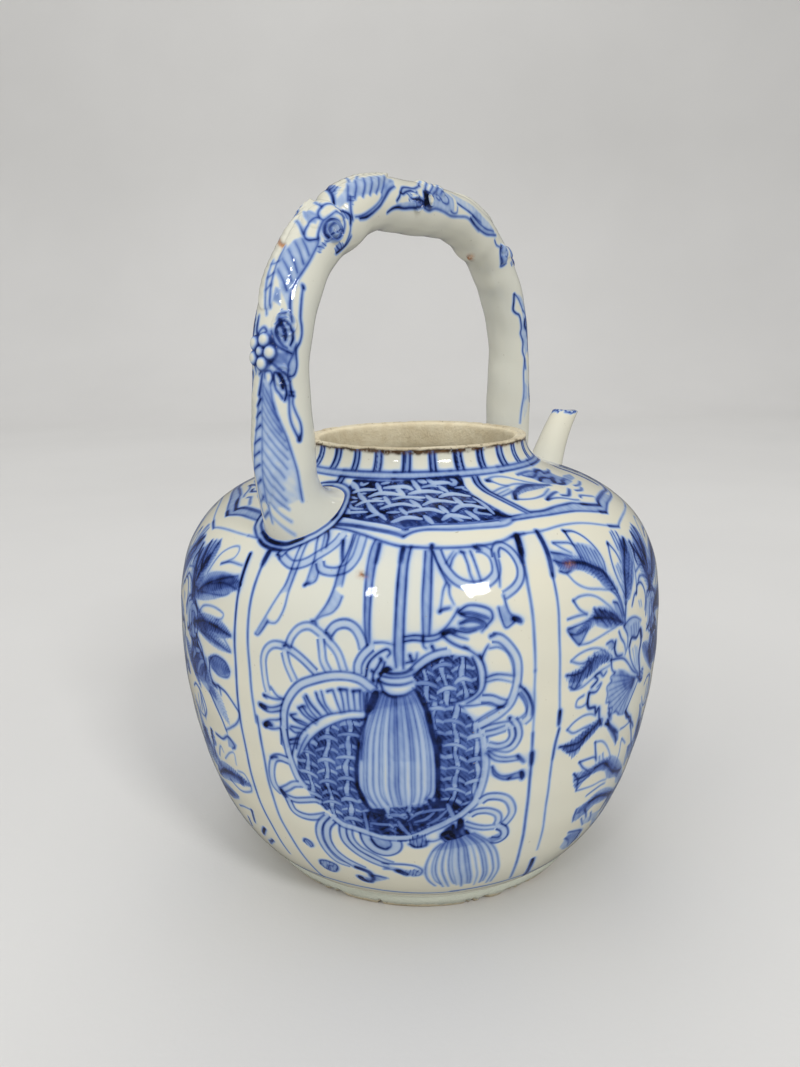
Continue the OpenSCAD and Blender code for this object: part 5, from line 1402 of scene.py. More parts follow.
def paint_branch(panel):
    """The sprigs of the branch, and the same ones mirrored where the far side repeats them."""
    thin = dict(fine=0.85, wet=0.62)
    paint(panel, BRANCH, **thin)
    paint(panel, BRANCH, mirror="y", only=lambda pts: min(y for _, y in pts) > 25, **thin)
    # the far leg carries the same leaf and buds as the near one
    paint(panel, BRANCH, mirror=BRANCH_L, only=lambda pts: max(x for x, _ in pts) < 45, **thin)
    for l, t, reach, radius, high, count, turn in BLOSSOMS:
        if high > 1:
            paint_blossom(panel, l, t, reach, radius, count, turn)


# ---------- mesh helpers ----------

class FaceSet:
    """Quads as an array, with a few faces of other sizes."""

    def __init__(self, quads, rest=()):
        self.quads = np.asarray(quads, np.int32)
        self.rest = [np.asarray(f, np.int32) for f in rest]


def add_object(name, verts, faces):
    """A smooth mesh object from vertices in millimetres."""
    mesh = bpy.data.meshes.new(name)
    mesh.vertices.add(len(verts))
    mesh.vertices.foreach_set("co", (np.asarray(verts, float) / 1000.0).ravel())
    counts = np.concatenate([np.full(len(faces.quads), 4), [len(f) for f in faces.rest]]).astype(np.int32)
    loops = np.concatenate([faces.quads.ravel()] + faces.rest).astype(np.int32)
    mesh.loops.add(len(loops))
    mesh.loops.foreach_set("vertex_index", loops)
    mesh.polygons.add(len(counts))
    mesh.polygons.foreach_set("loop_start", np.concatenate([[0], np.cumsum(counts)[:-1]]).astype(np.int32))
    mesh.polygons.foreach_set("use_smooth", np.ones(len(counts), bool))
    mesh.update(calc_edges=True)
    obj = bpy.data.objects.new(name, mesh)
    bpy.context.scene.collection.objects.link(obj)
    return obj


def revolve(r, z, phi):
    """Rings of points round the pot's axis."""
    x = r * np.cos(phi)
    return np.stack([x, r * np.sin(phi), np.broadcast_to(z, x.shape)], -1)


def ring_quads(first, m, n, flip=False):
    """Quads between m closed rings of n vertices; the first vertex of ring 0 is `first`."""
    i, k = np.meshgrid(np.arange(m - 1), np.arange(n), indexing="ij")
    a = first + i * n + k
    b = first + i * n + (k + 1) % n
    q = np.stack([a, b, b + n, a + n], -1).reshape(-1, 4)
    return q[:, ::-1] if flip else q


def closed_quads(m, n):
    """Quads of a skin of m rings of n vertices whose last ring joins the first."""
    k = np.arange(n)
    last = (m - 1) * n
    seam = np.stack([last + k, last + (k + 1) % n, (k + 1) % n, k], -1)
    return np.concatenate([ring_quads(0, m, n), seam])[:, ::-1]


def join_rings(skin_ring, inside_ring):
    """Faces between a ring of the pot's skin and a coarse ring of its inside."""
    few = AROUND // COARSE
    return [[skin_ring + (COARSE * j + i) % AROUND for i in range(COARSE + 1)]
            + [inside_ring + (j + 1) % few, inside_ring + j] for j in range(few)]


def grid_uv(u, v):
    """A place on the bake map for each vertex of a grid."""
    return np.stack(np.meshgrid(u, v), -1).reshape(-1, 2)


def glaze_skin(obj, ink, rust, within):
    """Ink, rust and whether a vertex lies inside, at each vertex, for the glaze to read; inside, the glaze
    is greyed as painted shade.
    """
    for name, values in (("ink", ink), ("rust", rust), ("within", within)):
        att = obj.data.attributes.new(name, "FLOAT", "POINT")
        att.data.foreach_set("value", np.asarray(values, np.float32))


def set_uv(obj, uv):
    """Bake map from a place for each vertex, fixed where a face spans the seam at u = 1."""
    mesh = obj.data
    layer = mesh.uv_layers.new(name="OFBake")
    idx = np.zeros(len(mesh.loops), np.int32)
    mesh.loops.foreach_get("vertex_index", idx)
    data = np.asarray(uv, float)[idx]
    start = np.zeros(len(mesh.polygons), np.int32)
    total = np.zeros(len(mesh.polygons), np.int32)
    mesh.polygons.foreach_get("loop_start", start)
    mesh.polygons.foreach_get("loop_total", total)
    face = np.repeat(np.arange(len(start)), total)
    top = np.zeros(len(start))
    np.maximum.at(top, face, data[:, 0])
    data[:, 0] = np.where(top[face] - data[:, 0] > 0.5, data[:, 0] + 1.0, data[:, 0])
    data[:, 0] /= 1.0 + 1.5 / AROUND
    layer.data.foreach_set("uv", data.astype(np.float32).ravel())


# ---------- profile of the pot ----------

def body_radius(z):
    """Radius of the thrown body at a height."""
    z = np.asarray(z, float)
    low = 1 - np.power(np.maximum(BELLY_Z - z, 0) / LOW_DROP, LOW_BEND)
    top = 1 - np.power(np.maximum(z - BELLY_Z, 0) / TOP_RISE, TOP_BEND)
    low = BELLY_R * np.power(np.maximum(low, 0), 1 / LOW_ROUND)
    top = BELLY_R * np.power(np.maximum(top, 1e-9), 1 / TOP_ROUND)
    return np.where(z < BELLY_Z, low, top)


def neck_radius(z):
    """Radius of the neck, a cove from the shoulder up to the mouth."""
    up = np.maximum(MOUTH_Z - z, 0) / (MOUTH_Z - COVE_Z)
    return MOUTH_R + (COVE_R - MOUTH_R) * np.power(up, COVE_BEND)


def outer_profile():
    """Arc length s against r and z, from the foot's edge up to the lip, eased where the
    neck meets the shoulder."""
    z = np.concatenate([np.linspace(0, COVE_Z, 1400), np.linspace(COVE_Z, MOUTH_Z, 500)[1:]])
    r = np.where(z < COVE_Z, body_radius(np.minimum(z, COVE_Z)), neck_radius(z))
    s = np.concatenate([[0], np.cumsum(np.hypot(np.diff(r), np.diff(z)))])
    even = np.linspace(0, s[-1], 2400)
    r, z = np.interp(even, s, r), np.interp(even, s, z)
    reach = 30
    bell = np.exp(-0.5 * (np.arange(-reach, reach + 1) / 12.0) ** 2)
    bell /= bell.sum()
    near = np.exp(-0.5 * ((z - COVE_Z) / 3.0) ** 2)
    for line in (r, z):
        soft = np.convolve(np.pad(line, reach, mode="edge"), bell, mode="valid")
        line += (soft - line) * near
    return even * (WALL_LENGTH / s[-1]), r, z


def wobble(phi, z):
    """How far a hand-thrown wall strays from true, in mm."""
    up = np.clip(z / 30, 0, 1) * np.clip((MOUTH_Z - z) / 12, 0, 1)
    return up * (0.28 * np.sin(2 * phi + 0.7) + 0.16 * np.sin(3 * phi + 0.05 * z)
                 + 0.09 * np.sin(5 * phi - 0.09 * z + 1.0) + 0.05 * np.sin(z * 0.55 + phi))


# ---------- pieces ----------

def inner_wall():
    """Radii and heights of the pot's inner face, from the lip down to the middle of its floor."""
    floor_z = FOOT_H + FLOOR_T
    zs = np.linspace(COVE_Z - 3.4, floor_z + 3.0, 60)
    slope = (body_radius(zs + 0.05) - body_radius(zs - 0.05)) / 0.1
    square = np.sqrt(1 + slope ** 2)
    rs, zs = body_radius(zs) - WALL / square, zs + WALL * slope / square
    under_cove = zs < COVE_Z - 3
    r = np.concatenate([MOUTH_BORE + np.array([0.6, 0.6, 0.9, 2.6]), rs[under_cove]])
    z = np.concatenate([[MOUTH_Z - BARE_H, MOUTH_Z - 6.4, MOUTH_Z - 8.4, COVE_Z + 1.0], zs[under_cove]])
    r, z = r[z > floor_z], z[z > floor_z]
    floor_r = np.linspace(r[-1] - 3, 2, 12)
    return np.concatenate([r, floor_r]), np.concatenate([z, floor_z + 0.25 * np.cos(np.linspace(0, 3, 12))])


def make_pot_body():
    """Bowl, shoulder and neck in one thrown wall, closed at its floor and at the lip."""
    s_of, r_of, z_of = outer_profile()
    s_low, s_top = np.interp([FOOT_H - 0.4, MOUTH_Z - BARE_H], z_of, s_of)
    s_rows = np.concatenate([np.linspace(s_low, PLAIN_UP_TO, 9)[:-1],
                             np.arange(PLAIN_UP_TO, s_top, ROW), [s_top]])
    r_rows, z_rows = np.interp(s_rows, s_of, r_of), np.interp(s_rows, s_of, z_of)
    deg = np.arange(AROUND) * 360.0 / AROUND
    phi = np.radians(deg)
    painted = Panel(deg, s_rows, MM_PER_DEG, 1.0, r_rows / BELLY_R)
    paint_pot(painted)
    rust = Panel(deg, s_rows, MM_PER_DEG, 1.0, r_rows / BELLY_R)
    spots(rust)

    # skin, inner wall and the underside within the foot ring, each a stack of rings
    skin = revolve(r_rows[:, None] + wobble(phi, z_rows[:, None]), z_rows[:, None], phi)
    r_in, z_in = inner_wall()
    inner = revolve(r_in[:, None], z_in[:, None], phi[::COARSE])
    r_base = np.array([FOOT_R - 3.5, FOOT_R - 7, 30, 15, 2])
    z_base = FOOT_H + np.array([-0.6, -0.1, 0.1, 0.3, 0.3])
    base = revolve(r_base[:, None], z_base[:, None], phi[::COARSE])
    few = AROUND // COARSE
    rows, rows_in, rows_base = len(s_rows), len(r_in), len(r_base)
    skin_n, inner_n, base_n = rows * AROUND, rows_in * few, rows_base * few
    verts = np.concatenate([part.reshape(-1, 3) for part in (skin, inner, base)])
    quads = np.concatenate([ring_quads(0, rows, AROUND), ring_quads(skin_n, rows_in, few),
                            ring_quads(skin_n + inner_n, rows_base, few, flip=True)])
    rest = []
    for lip, foot in zip(join_rings((rows - 1) * AROUND, skin_n), join_rings(0, skin_n + inner_n)):
        rest += [lip, foot[::-1]]
    rest.append(range(skin_n + inner_n - few, skin_n + inner_n))
    rest.append(range(skin_n + inner_n + base_n - few, skin_n + inner_n + base_n)[::-1])
    obj = add_object("pot_body", verts, FaceSet(quads, rest))

    # within is 1 on the inner wall and 0.5 under the base, where the glaze paints shade
    unpainted = np.zeros(inner_n + base_n)
    glaze_skin(obj, np.concatenate([painted.ink.ravel(), unpainted]),
               np.concatenate([rust.ink.ravel(), unpainted]),
               np.repeat([0.0, 1.0, 0.5], [skin_n, inner_n, base_n]))
    set_uv(obj, np.concatenate([grid_uv(deg / 360, 0.02 + 0.74 * (s_rows / WALL_LENGTH)),
                                grid_uv(deg[::COARSE] / 360, np.linspace(0.79, 0.93, rows_in)),
                                grid_uv(deg[::COARSE] / 360, np.linspace(0.95, 0.99, rows_base))]))
    return obj


# rusty kiln spots: degrees round the pot, mm of wall, width and strength
SPOTS = ((202.5, 103.1, 1.1, 0.9), (247.2, 102.2, 1.3, 0.8), (97, 88, 0.9, 0.7), (318, 40, 0.8, 0.7))


def spots(panel):
    """Rusty kiln spots, and the brown edge where the glaze ends under the bare lip."""
    rng = np.random.default_rng(11)
    for x, s, w, k in SPOTS:
        pen(panel, w, k, [(x, s), (x + 0.5, s - 0.25)])
        pen(panel, w * 2.6, k * 0.3, [(x - 0.3, s), (x + 0.9, s - 0.3)])
    end = panel.y[-1]
    for x in range(-3, 360, 3):
        w = 1.1 + 0.6 * math.sin(x * 0.061 + 1) + rng.uniform(0, 0.7)
        dip = end - rng.uniform(0, 0.5)
        pen(panel, w, 1.0, [(x, end), (x + 1.6, dip), (x + 3.2, end)], steady=True)


def evenly(n):
    """Angles of n points round a ring."""
    return np.arange(n) * 2 * math.pi / n


def apart(phi, at):
    """Angle from a place on a ring, between minus and plus half a turn."""
    return (phi - at + math.pi) % (2 * math.pi) - math.pi


def make_mouth_lip():
    """Bare ring of the mouth, worn and a little uneven, with sand and chips in the clay."""
    n = 720
    phi = evenly(n)
    low, glaze_z = MOUTH_Z - LIP_H - 9.0, MOUTH_Z - BARE_H
    outline = [(MOUTH_BORE + 2.0, COVE_Z + 0.6), (MOUTH_BORE + 0.3, low + 3.0), (MOUTH_BORE, low + 5.0),
               (MOUTH_BORE, MOUTH_Z - 1.6), (MOUTH_BORE + 0.25, MOUTH_Z - 0.7),
               (MOUTH_BORE + 1.0, MOUTH_Z - 0.28), (MOUTH_BORE + 2.2, MOUTH_Z - 0.05),
               (MOUTH_R - 0.35, MOUTH_Z), (MOUTH_R - 0.05, MOUTH_Z - 0.08), (MOUTH_R + 0.1, MOUTH_Z - 0.35),
               (MOUTH_R + 0.12, MOUTH_Z - 0.8), (MOUTH_R - 0.02, glaze_z - 0.1),
               (MOUTH_R - 0.5, glaze_z - 0.4), (MOUTH_R - 1.4, glaze_z - 0.6),
               (MOUTH_BORE + 1.2, low + 4.0), (MOUTH_BORE + 3.0, COVE_Z + 0.9)]
    rng = np.random.default_rng(3)
    chips = np.zeros(n)
    for c in rng.uniform(0, 2 * math.pi, 22):
        deep = rng.uniform(0.1, 0.4)
        chips += deep * np.exp(-apart(phi, c) ** 2 / (2 * rng.uniform(0.01, 0.035) ** 2))
    wave = 0.12 * np.sin(2 * phi + 1) + 0.08 * np.sin(5 * phi) + 0.05 * np.sin(11 * phi + 2)
    rings = []
    for r, z in outline:
        lift = np.clip((z - MOUTH_Z + 2.0) / 1.8, 0, 1)
        chip = chips * (0.6 if r > MOUTH_R - 0.7 else 0.0)
        rr = r + 0.06 * np.sin(7 * phi) - 0.5 * chip
        rings.append(revolve(rr, z + lift * (0.7 * wave - 0.12 - chip), phi))
    obj = add_object("mouth_lip", np.concatenate(rings), FaceSet(closed_quads(len(rings), n)))
    soften = obj.modifiers.new("round", "SUBSURF")
    soften.levels = 1
    soften.render_levels = 1
    return obj


def make_foot():
    """Foot ring: bare clay where it stands, with a chipped, gritty edge."""
    n = 720
    phi = evenly(n)
    joint_r, inner_r = float(body_radius(FOOT_H)), FOOT_R - FOOT_W
    # radius, height and how far chips bite there
    outline = [(joint_r - 0.25, FOOT_H + 0.6, 0), (joint_r - 0.1, FOOT_H - 0.2, 0),
               (FOOT_R + 2.2, 3.6, 0), (FOOT_R + 1.1, 2.0, 0.35), (FOOT_R + 0.1, 0.75, 1),
               (FOOT_R - 0.35, 0.15, 1), (FOOT_R - 1.2, 0.0, 1), (inner_r + 1, 0.0, 0.35),
               (inner_r + 0.2, 0.2, 0), (inner_r - 0.3, 1.0, 0), (inner_r - 0.8, FOOT_H - 0.2, 0),
               (inner_r - 1, FOOT_H + 0.4, 0)]
    rng = np.random.default_rng(5)
    bite = np.zeros(n)
    for c in rng.uniform(0, 2 * math.pi, 70):
        deep = rng.uniform(0.15, 0.9)
        bite = np.maximum(bite, deep * np.exp(-(apart(phi, c) / rng.uniform(0.006, 0.03)) ** 2))
    rings = []
    for r, z, share in outline:
        rr = r - share * bite * 1.1 + 0.1 * np.sin(3 * phi + 1)
        rings.append(revolve(rr, np.maximum(z + share * bite * 0.7, 0), phi))
    return add_object("foot", np.concatenate(rings), FaceSet(closed_quads(len(rings), n)))


def branch_axis(l):
    """Centre, outward direction and radius of the branch at l mm from the front leg's foot."""
    if l > BRANCH_L / 2:
        (x, z), (ox, oz), r = branch_axis(BRANCH_L - l)
        return (-x, z), (-ox, oz), r
    if l < 0:
        s = -l / FOOT_DROP
        lean = math.radians(FOOT_LEAN * s)
        centre = (-(LEG_X - FOOT_SHIFT * s * s), LEG_Z - FOOT_DROP * s)
        r = LEG_FOOT_R + (SPREAD_R - LEG_FOOT_R) * s ** 3
        return centre, (-math.cos(lean), -math.sin(lean)), r
    if l < LEG_L:
        return (-LEG_X, LEG_Z + l), (-1.0, 0.0), LEG_FOOT_R + (BRANCH_R - LEG_FOOT_R) * l / LEG_L
    b = (l - LEG_L) / BEND_R
    if b < math.pi / 2:
        centre = (-TOP_X - BEND_R * math.cos(b), BEND_Z + BEND_R * math.sin(b))
        return centre, (-math.cos(b), math.sin(b)), BRANCH_R
    return (-TOP_X + l - LEG_L - BEND_L, BEND_Z + BEND_R), (0.0, 1.0), BRANCH_R


# moulded blossoms: place along the branch and round it, reach of the petals, their radius and
# height, how many, turn of the first
BLOSSOMS = [(25.2, 2, 2.3, 1.6, 1.35, 5, 0.4), (56.5, 38, 2.6, 1.9, 0.5, 5, 0.9),
            (101.5, 20, 3.0, 2.0, 0.8, 6, 0.2), (138.5, 88, 1.6, 1.7, 0.8, 3, 1.2),
            (144.2, 20, 2.1, 2.1, 1.2, 3, 0.2)]


# moulded leaves: from and to along the branch, half width, height, middle round it in mm, and
# whether the tip comes first
LEAVES = [(-6, 22, 6.8, 0.75, 0, True), (33, 55, 5.8, 1.45, -0.5, False), (42, 61, 4.6, 1.2, -2.6, False),
          (64, 84, 5.8, 1.35, 1.2, False), (115, 139, 5.8, 1.35, 0, False), (150, 172, 5.6, 1.35, 0, True),
          (BRANCH_L - 22, BRANCH_L + 6, 6.8, 0.75, 0, False)]

# curled buds: place along the branch and round it, radius and height
CURLS = [(30.5, 45, 3.0, 0.8), (20.5, 46, 2.6, 0.55), (54.3, 70, 3.1, 1.25), (58.6, -30, 3.0, 1.0),
         (94.3, 78, 2.2, 1.1), (89.0, 88, 2.6, 0.9), (94.3, -60, 2.6, 1.0)]

# knots: place along the branch, height and length
KNOTS = [(64.0, 1.1, 7.5), (129.5, 1.0, 3.6), (145.0, 0.6, 3.6)]
KNOTS_AT = 172       # degrees round the branch, on its inner side


def relief(l, t):
    """Height of the moulded leaves, buds, blossoms and knots over the branch, in mm.
    l is mm along the branch and t is degrees round it from its outer side."""
    a = t * BRANCH_MM_PER_DEG
    h = np.zeros(np.broadcast(l, t).shape)

    def leaf_at(l0, l1, half, high, mid, tip_first):
        """A leaf with a cleft midrib, veins and an edge that stands off the branch."""
        u = (l - l0) / (l1 - l0)
        v = 1 - u if tip_first else u
        full = np.clip(np.sin(math.pi * np.clip(v, 0, 1) ** 0.75), 0, 1)
        w = half * np.power(full, 0.8) + 0.01
        side = np.abs(a - mid) / w
        rise = np.clip((1 - side) * 3.2, 0, 1)
        cleft = 1 - 0.35 * np.exp(-((a - mid) / 0.55) ** 2)
        veins = 1 + 0.06 * np.sin(l * 3.2 - np.abs(a - mid) * 1.8)
        lift = 0.35 + 0.65 * v
        return np.where((u > 0) & (u < 1), 0.7 * high * rise * cleft * veins * lift, 0)

    def dome(lc, tc, rad, high):
        """Half an ellipsoid on the branch."""
        d2 = (l - lc) ** 2 + (a - tc * BRANCH_MM_PER_DEG) ** 2
        return high * np.sqrt(np.clip(1 - d2 / rad ** 2, 0, 1))

    def blossom_at(lc, tc, reach, rad, high, petals, turn):
        """Round petals about a round heart."""
        out = dome(lc, tc, rad * 0.75, high * 0.9)
        for i in range(petals):
            q = turn + 2 * math.pi * i / petals
            up = tc + reach * math.sin(q) / BRANCH_MM_PER_DEG
            out = np.maximum(out, dome(lc + reach * math.cos(q), up, rad, high))
        return out

    def curl_at(lc, tc, rad, high):
        """A bud coiled round its middle."""
        da, dl = a - tc * BRANCH_MM_PER_DEG, l - lc
        d, q = np.hypot(dl, da), np.arctan2(da, dl)
        coil = 0.6 + 0.4 * np.cos((d / rad * 2.4 + q / (2 * math.pi)) * 2 * math.pi)
        return high * coil * np.clip((rad - d) / (0.25 * rad), 0, 1)

    shapes = [leaf_at(*row) for row in LEAVES] + [blossom_at(*row) for row in BLOSSOMS]
    for shape in shapes + [curl_at(*row) for row in CURLS]:
        h = np.maximum(h, shape)
    # deep cleft between the leaves of the front bend
    h = h - 0.9 * np.exp(-((l - 61.9 + 0.12 * a) / 1.3) ** 2) * np.clip((9 - np.abs(a)) / 2, 0, 1)
    for lc, high, long in KNOTS:
        da = ((t - KNOTS_AT + 180) % 360 - 180) * BRANCH_MM_PER_DEG
        h = h + high * np.exp(-((l - lc) / long) ** 2 - (da / 6.5) ** 2)
    # the branch is not quite even
    h = h + 0.12 * np.sin(l * 0.21 + 0.6) + 0.07 * np.sin(l * 0.53 + np.radians(t) * 2)
    return h * np.clip((l + 14) / 8, 0, 1) * np.clip((BRANCH_L + 14 - l) / 8, 0, 1)


# rusty spots on the branch: width and strength, and the points of a short brush line
BRANCH_SPOTS = ((1.3, 0.9, [(46.3, 0), (46.9, -12), (48.5, -28)]),
                (2.0, 0.95, [(128.6, 172), (129.4, 176)]), (3.6, 0.4, [(128.0, 170), (130.5, 178)]))


def make_handle():
    """Branch handle: a swept skin with its spread feet and moulded relief, closed at both ends."""
    n = 240
    ls = np.concatenate([np.arange(-FOOT_DROP, 0, 0.25), np.arange(0, BRANCH_L, 0.2),
                         np.arange(BRANCH_L, BRANCH_L + FOOT_DROP + 0.01, 0.25)])
    deg = -180 + np.arange(n) * 360.0 / n
    panel = Panel(ls, deg, 1.0, BRANCH_MM_PER_DEG)
    paint_branch(panel)
    panel.bleed(0.7, 0.35)
    q = np.radians(deg)
    rings = []
    for l, rise in zip(ls, relief(ls[:, None], deg[None, :])):
        (cx, cz), (ox, oz), r = branch_axis(l)
        out = (r + rise) * np.cos(q)
        rings.append(np.stack([cx + out * ox, -(r + rise) * np.sin(q), cz + out * oz], -1))
    verts = np.concatenate(rings)
    m = len(ls)
    quads = ring_quads(0, m, n)
    caps = [list(range(n))[::-1], [(m - 1) * n + k for k in range(n)]]
    obj = add_object("handle", verts, FaceSet(quads, caps))
    rust = Panel(ls, deg, 1.0, BRANCH_MM_PER_DEG)
    for w, k, pts in BRANCH_SPOTS:
        pen(rust, w, k, pts)
    glaze_skin(obj, panel.ink.T.ravel(), rust.ink.T.ravel(), np.zeros(len(verts)))
    set_uv(obj, grid_uv((deg + 180) / 360, (ls + FOOT_DROP) / (BRANCH_L + 2 * FOOT_DROP)))
    return obj


def spout_rings(t, n, cut):
    """Rings of n points along the spout's centre line, cut times the wall's thickness inwards."""
    def centre(t):
        """Points of the Bezier curve."""
        weights = [(1 - t) ** 3, 3 * (1 - t) ** 2 * t, 3 * (1 - t) * t * t, t ** 3]
        return sum(w[:, None] * point for w, point in zip(weights, SPOUT_CURVE))

    def heading(t):
        """Angle of the curve over the level, in degrees."""
        d = centre(np.minimum(t + 0.01, 1)) - centre(np.maximum(t - 0.01, 0))
        return np.degrees(np.arctan2(d[:, 1], d[:, 0]))

    c = centre(t)
    # the rings turn level towards the lip
    a = np.radians(heading(t) + (LIP_HEADING - heading(np.array([1.0]))[0]) * t ** 5)[:, None]
    to_lip = np.maximum(1 - t, 0)
    r = LIP_R + (ROOT_R - LIP_R) * to_lip ** 1.75 - cut * (LIP_T + (ROOT_T - LIP_T) * to_lip)
    q = evenly(n)
    u = (r * (1 + 0.1 * t ** 6))[:, None] * np.cos(q)
    return np.stack([c[:, :1] - u * np.sin(a), r[:, None] * np.sin(q), c[:, 1:] + u * np.cos(a)], -1)


def make_spout():
    """Hollow spout on its S-curve, with a rounded, nearly level lip edged in blue."""
    n, steps = 96, 120
    ts = np.linspace(0, 1, steps)
    out = spout_rings(ts, n, 0)
    ins = spout_rings(ts[::-1], n, 1)
    # the lip rolls over from the outer to the inner skin
    o, i = out[-1], ins[0]
    mid = (o + i) / 2
    mid[:, 2] += 0.45
    q = evenly(n)
    wave = 0.15 * np.sin(q * 2 + 0.5)
    lip = [o * 0.8 + mid * 0.2 + (0, 0, 0.26), mid + (0, 0, 0.12), i * 0.8 + mid * 0.2 + (0, 0, 0.22)]
    for ring in lip + [out[-1], out[-2]]:
        ring[:, 2] += wave
    every = np.concatenate([out, np.array(lip), ins])
    m = len(every)
    obj = add_object("spout_skin", every.reshape(-1, 3), FaceSet(closed_quads(m, n)))
    # one row of the panel is one ring, about 0.45 mm from the next at the lip
    panel = Panel(np.arange(n + 1) * 360 / n, np.arange(m) * 1.0, math.radians(1) * 6, 0.45)
    rng = np.random.default_rng(2)
    for x in range(-10, 360, 20):
        y = steps + rng.uniform(-1.5, 2)
        w, k = rng.uniform(0.8, 1.5), rng.uniform(0.6, 0.95)
        pen(panel, w, k, [(x, y), (x + 10, y + rng.uniform(-2, 2)), (x + 22, y)])
    # the spout's inner skin counts as within, where the glaze paints shade
    glaze_skin(obj, panel.ink[:, :n].ravel(), np.zeros(m * n), np.arange(m * n) >= n * (steps + 2))
    set_uv(obj, grid_uv(q / (2 * math.pi), np.arange(m) / m))
    return obj


# ---------- materials ----------

def srgb(*display):
    """Linear colour from red, green and blue display values up to 255."""
    parts = [v / 255 for v in display]
    return tuple(v / 12.92 if v <= 10 / 255 else ((v + 0.055) / 1.055) ** 2.4 for v in parts) + (1.0,)


class Nodes:
    """A little shorthand for building a node tree."""

    def __init__(self, name):
        self.mat = bpy.data.materials.new(name)
        self.mat.use_nodes = True
        self.tree = self.mat.node_tree
        self.shader = self.tree.nodes["Principled BSDF"]
        self.place = self.add("ShaderNodeTexCoord").outputs["Object"]

    def add(self, kind, **sockets):
        """A node with its inputs set or linked by name."""
        node = self.tree.nodes.new(kind)
        for key, value in sockets.items():
            self.put(node.inputs[key.replace("_", " ")], value)
        return node

    def put(self, socket, value):
        """Links an output to a socket, or sets the socket's value."""
        if isinstance(value, bpy.types.NodeSocket):
            self.tree.links.new(value, socket)
        else:
            socket.default_value = value

    def attribute(self, name):
        """A value stored at the vertices."""
        node = self.add("ShaderNodeAttribute")
        node.attribute_name = name
        return node.outputs["Fac"]

    def height(self):
        """Height above the table, in metres."""
        return self.add("ShaderNodeSeparateXYZ", Vector=self.place).outputs["Z"]

    def noise(self, scale, detail=3.0):
        """Noise in the object's own coordinates."""
        node = self.add("ShaderNodeTexNoise", Vector=self.place, Scale=scale, Detail=detail, Roughness=0.55)
        return node.outputs["Fac"]

    def math(self, op, a, b=0.0, clamp=False):
        """Arithmetic on two values."""
        node = self.tree.nodes.new("ShaderNodeMath")
        node.operation = op
        node.use_clamp = clamp
        self.put(node.inputs[0], a)
        self.put(node.inputs[1], b)
        return node.outputs[0]

    def span(self, value, a, b, c, d):
        """A value's range from a to b laid over the range from c to d, and held at its ends."""
        node = self.add("ShaderNodeMapRange", Value=value)
        for i, v in enumerate((a, b, c, d)):
            node.inputs[1 + i].default_value = v
        return node.outputs[0]

    def cloud(self, scale, detail, a, b, c, d):
        """Noise whose range from a to b is laid over the range from c to d."""
        return self.span(self.noise(scale, detail), a, b, c, d)

    def times(self, a, b, clamp=False):
        """Product of two values."""
        return self.math("MULTIPLY", a, b, clamp)

    def plus(self, a, b, clamp=False):
        """Sum of two values."""
        return self.math("ADD", a, b, clamp)

    def mix(self, fac, a, b):
        """Colour between a and b."""
        node = self.tree.nodes.new("ShaderNodeMix")
        node.data_type = "RGBA"
        self.put(node.inputs["Factor"], fac)
        self.put(node.inputs[6], a)
        self.put(node.inputs[7], b)
        return node.outputs[2]

    def ramp(self, fac, stops):
        """Colour along a list of (place, colour)."""
        node = self.add("ShaderNodeValToRGB", Fac=fac)
        ramp = node.color_ramp
        while len(ramp.elements) < len(stops):
            ramp.elements.new(0.5)
        for element, (at, colour) in zip(ramp.elements, stops):
            element.position = at
            element.color = colour
        return node.outputs["Color"]

    def bump(self, height, strength, distance):
        """Gives the shader a fine relief, its distance in metres."""
        node = self.add("ShaderNodeBump", Height=height, Strength=strength, Distance=distance)
        self.put(self.shader.inputs["Normal"], node.outputs["Normal"])

    def dress(self, colour, roughness):
        """The finished material, once its colour and roughness are given."""
        self.put(self.shader.inputs["Base Color"], colour)
        self.put(self.shader.inputs["Roughness"], roughness)
        return self.mat


# where the materials change, in metres from the table or from the pot's axis
BURNT_LOW, BURNT_HIGH, FADE = 0.1165, 0.122, 0.0005      # band of burnt rust along the mouth
PAINTED_LIGHT_OUT, PAINTED_LIGHT_IN = 0.0286, 0.0276                       # bore of the mouth; inside this the clay is painted paler, as painted light
CRAWL_TOP, CRAWL_LOW, CRAWL_R = 0.1186, 0.1181, 0.0296   # brown crawl below and outside this
CLAY_TOP, GLAZE_LOW, RAGGED = 0.0012, 0.0018, 0.0012     # glaze line of the foot, and its stray

# display colours of the cobalt, from the thinnest wash to the deepest pool
COBALT = [(0.0, srgb(196, 206, 208)), (0.2, srgb(166, 184, 210)), (0.42, srgb(123, 147, 191)),
          (0.65, srgb(76, 101, 163)), (0.85, srgb(30, 49, 106)), (1.0, srgb(2, 8, 34))]


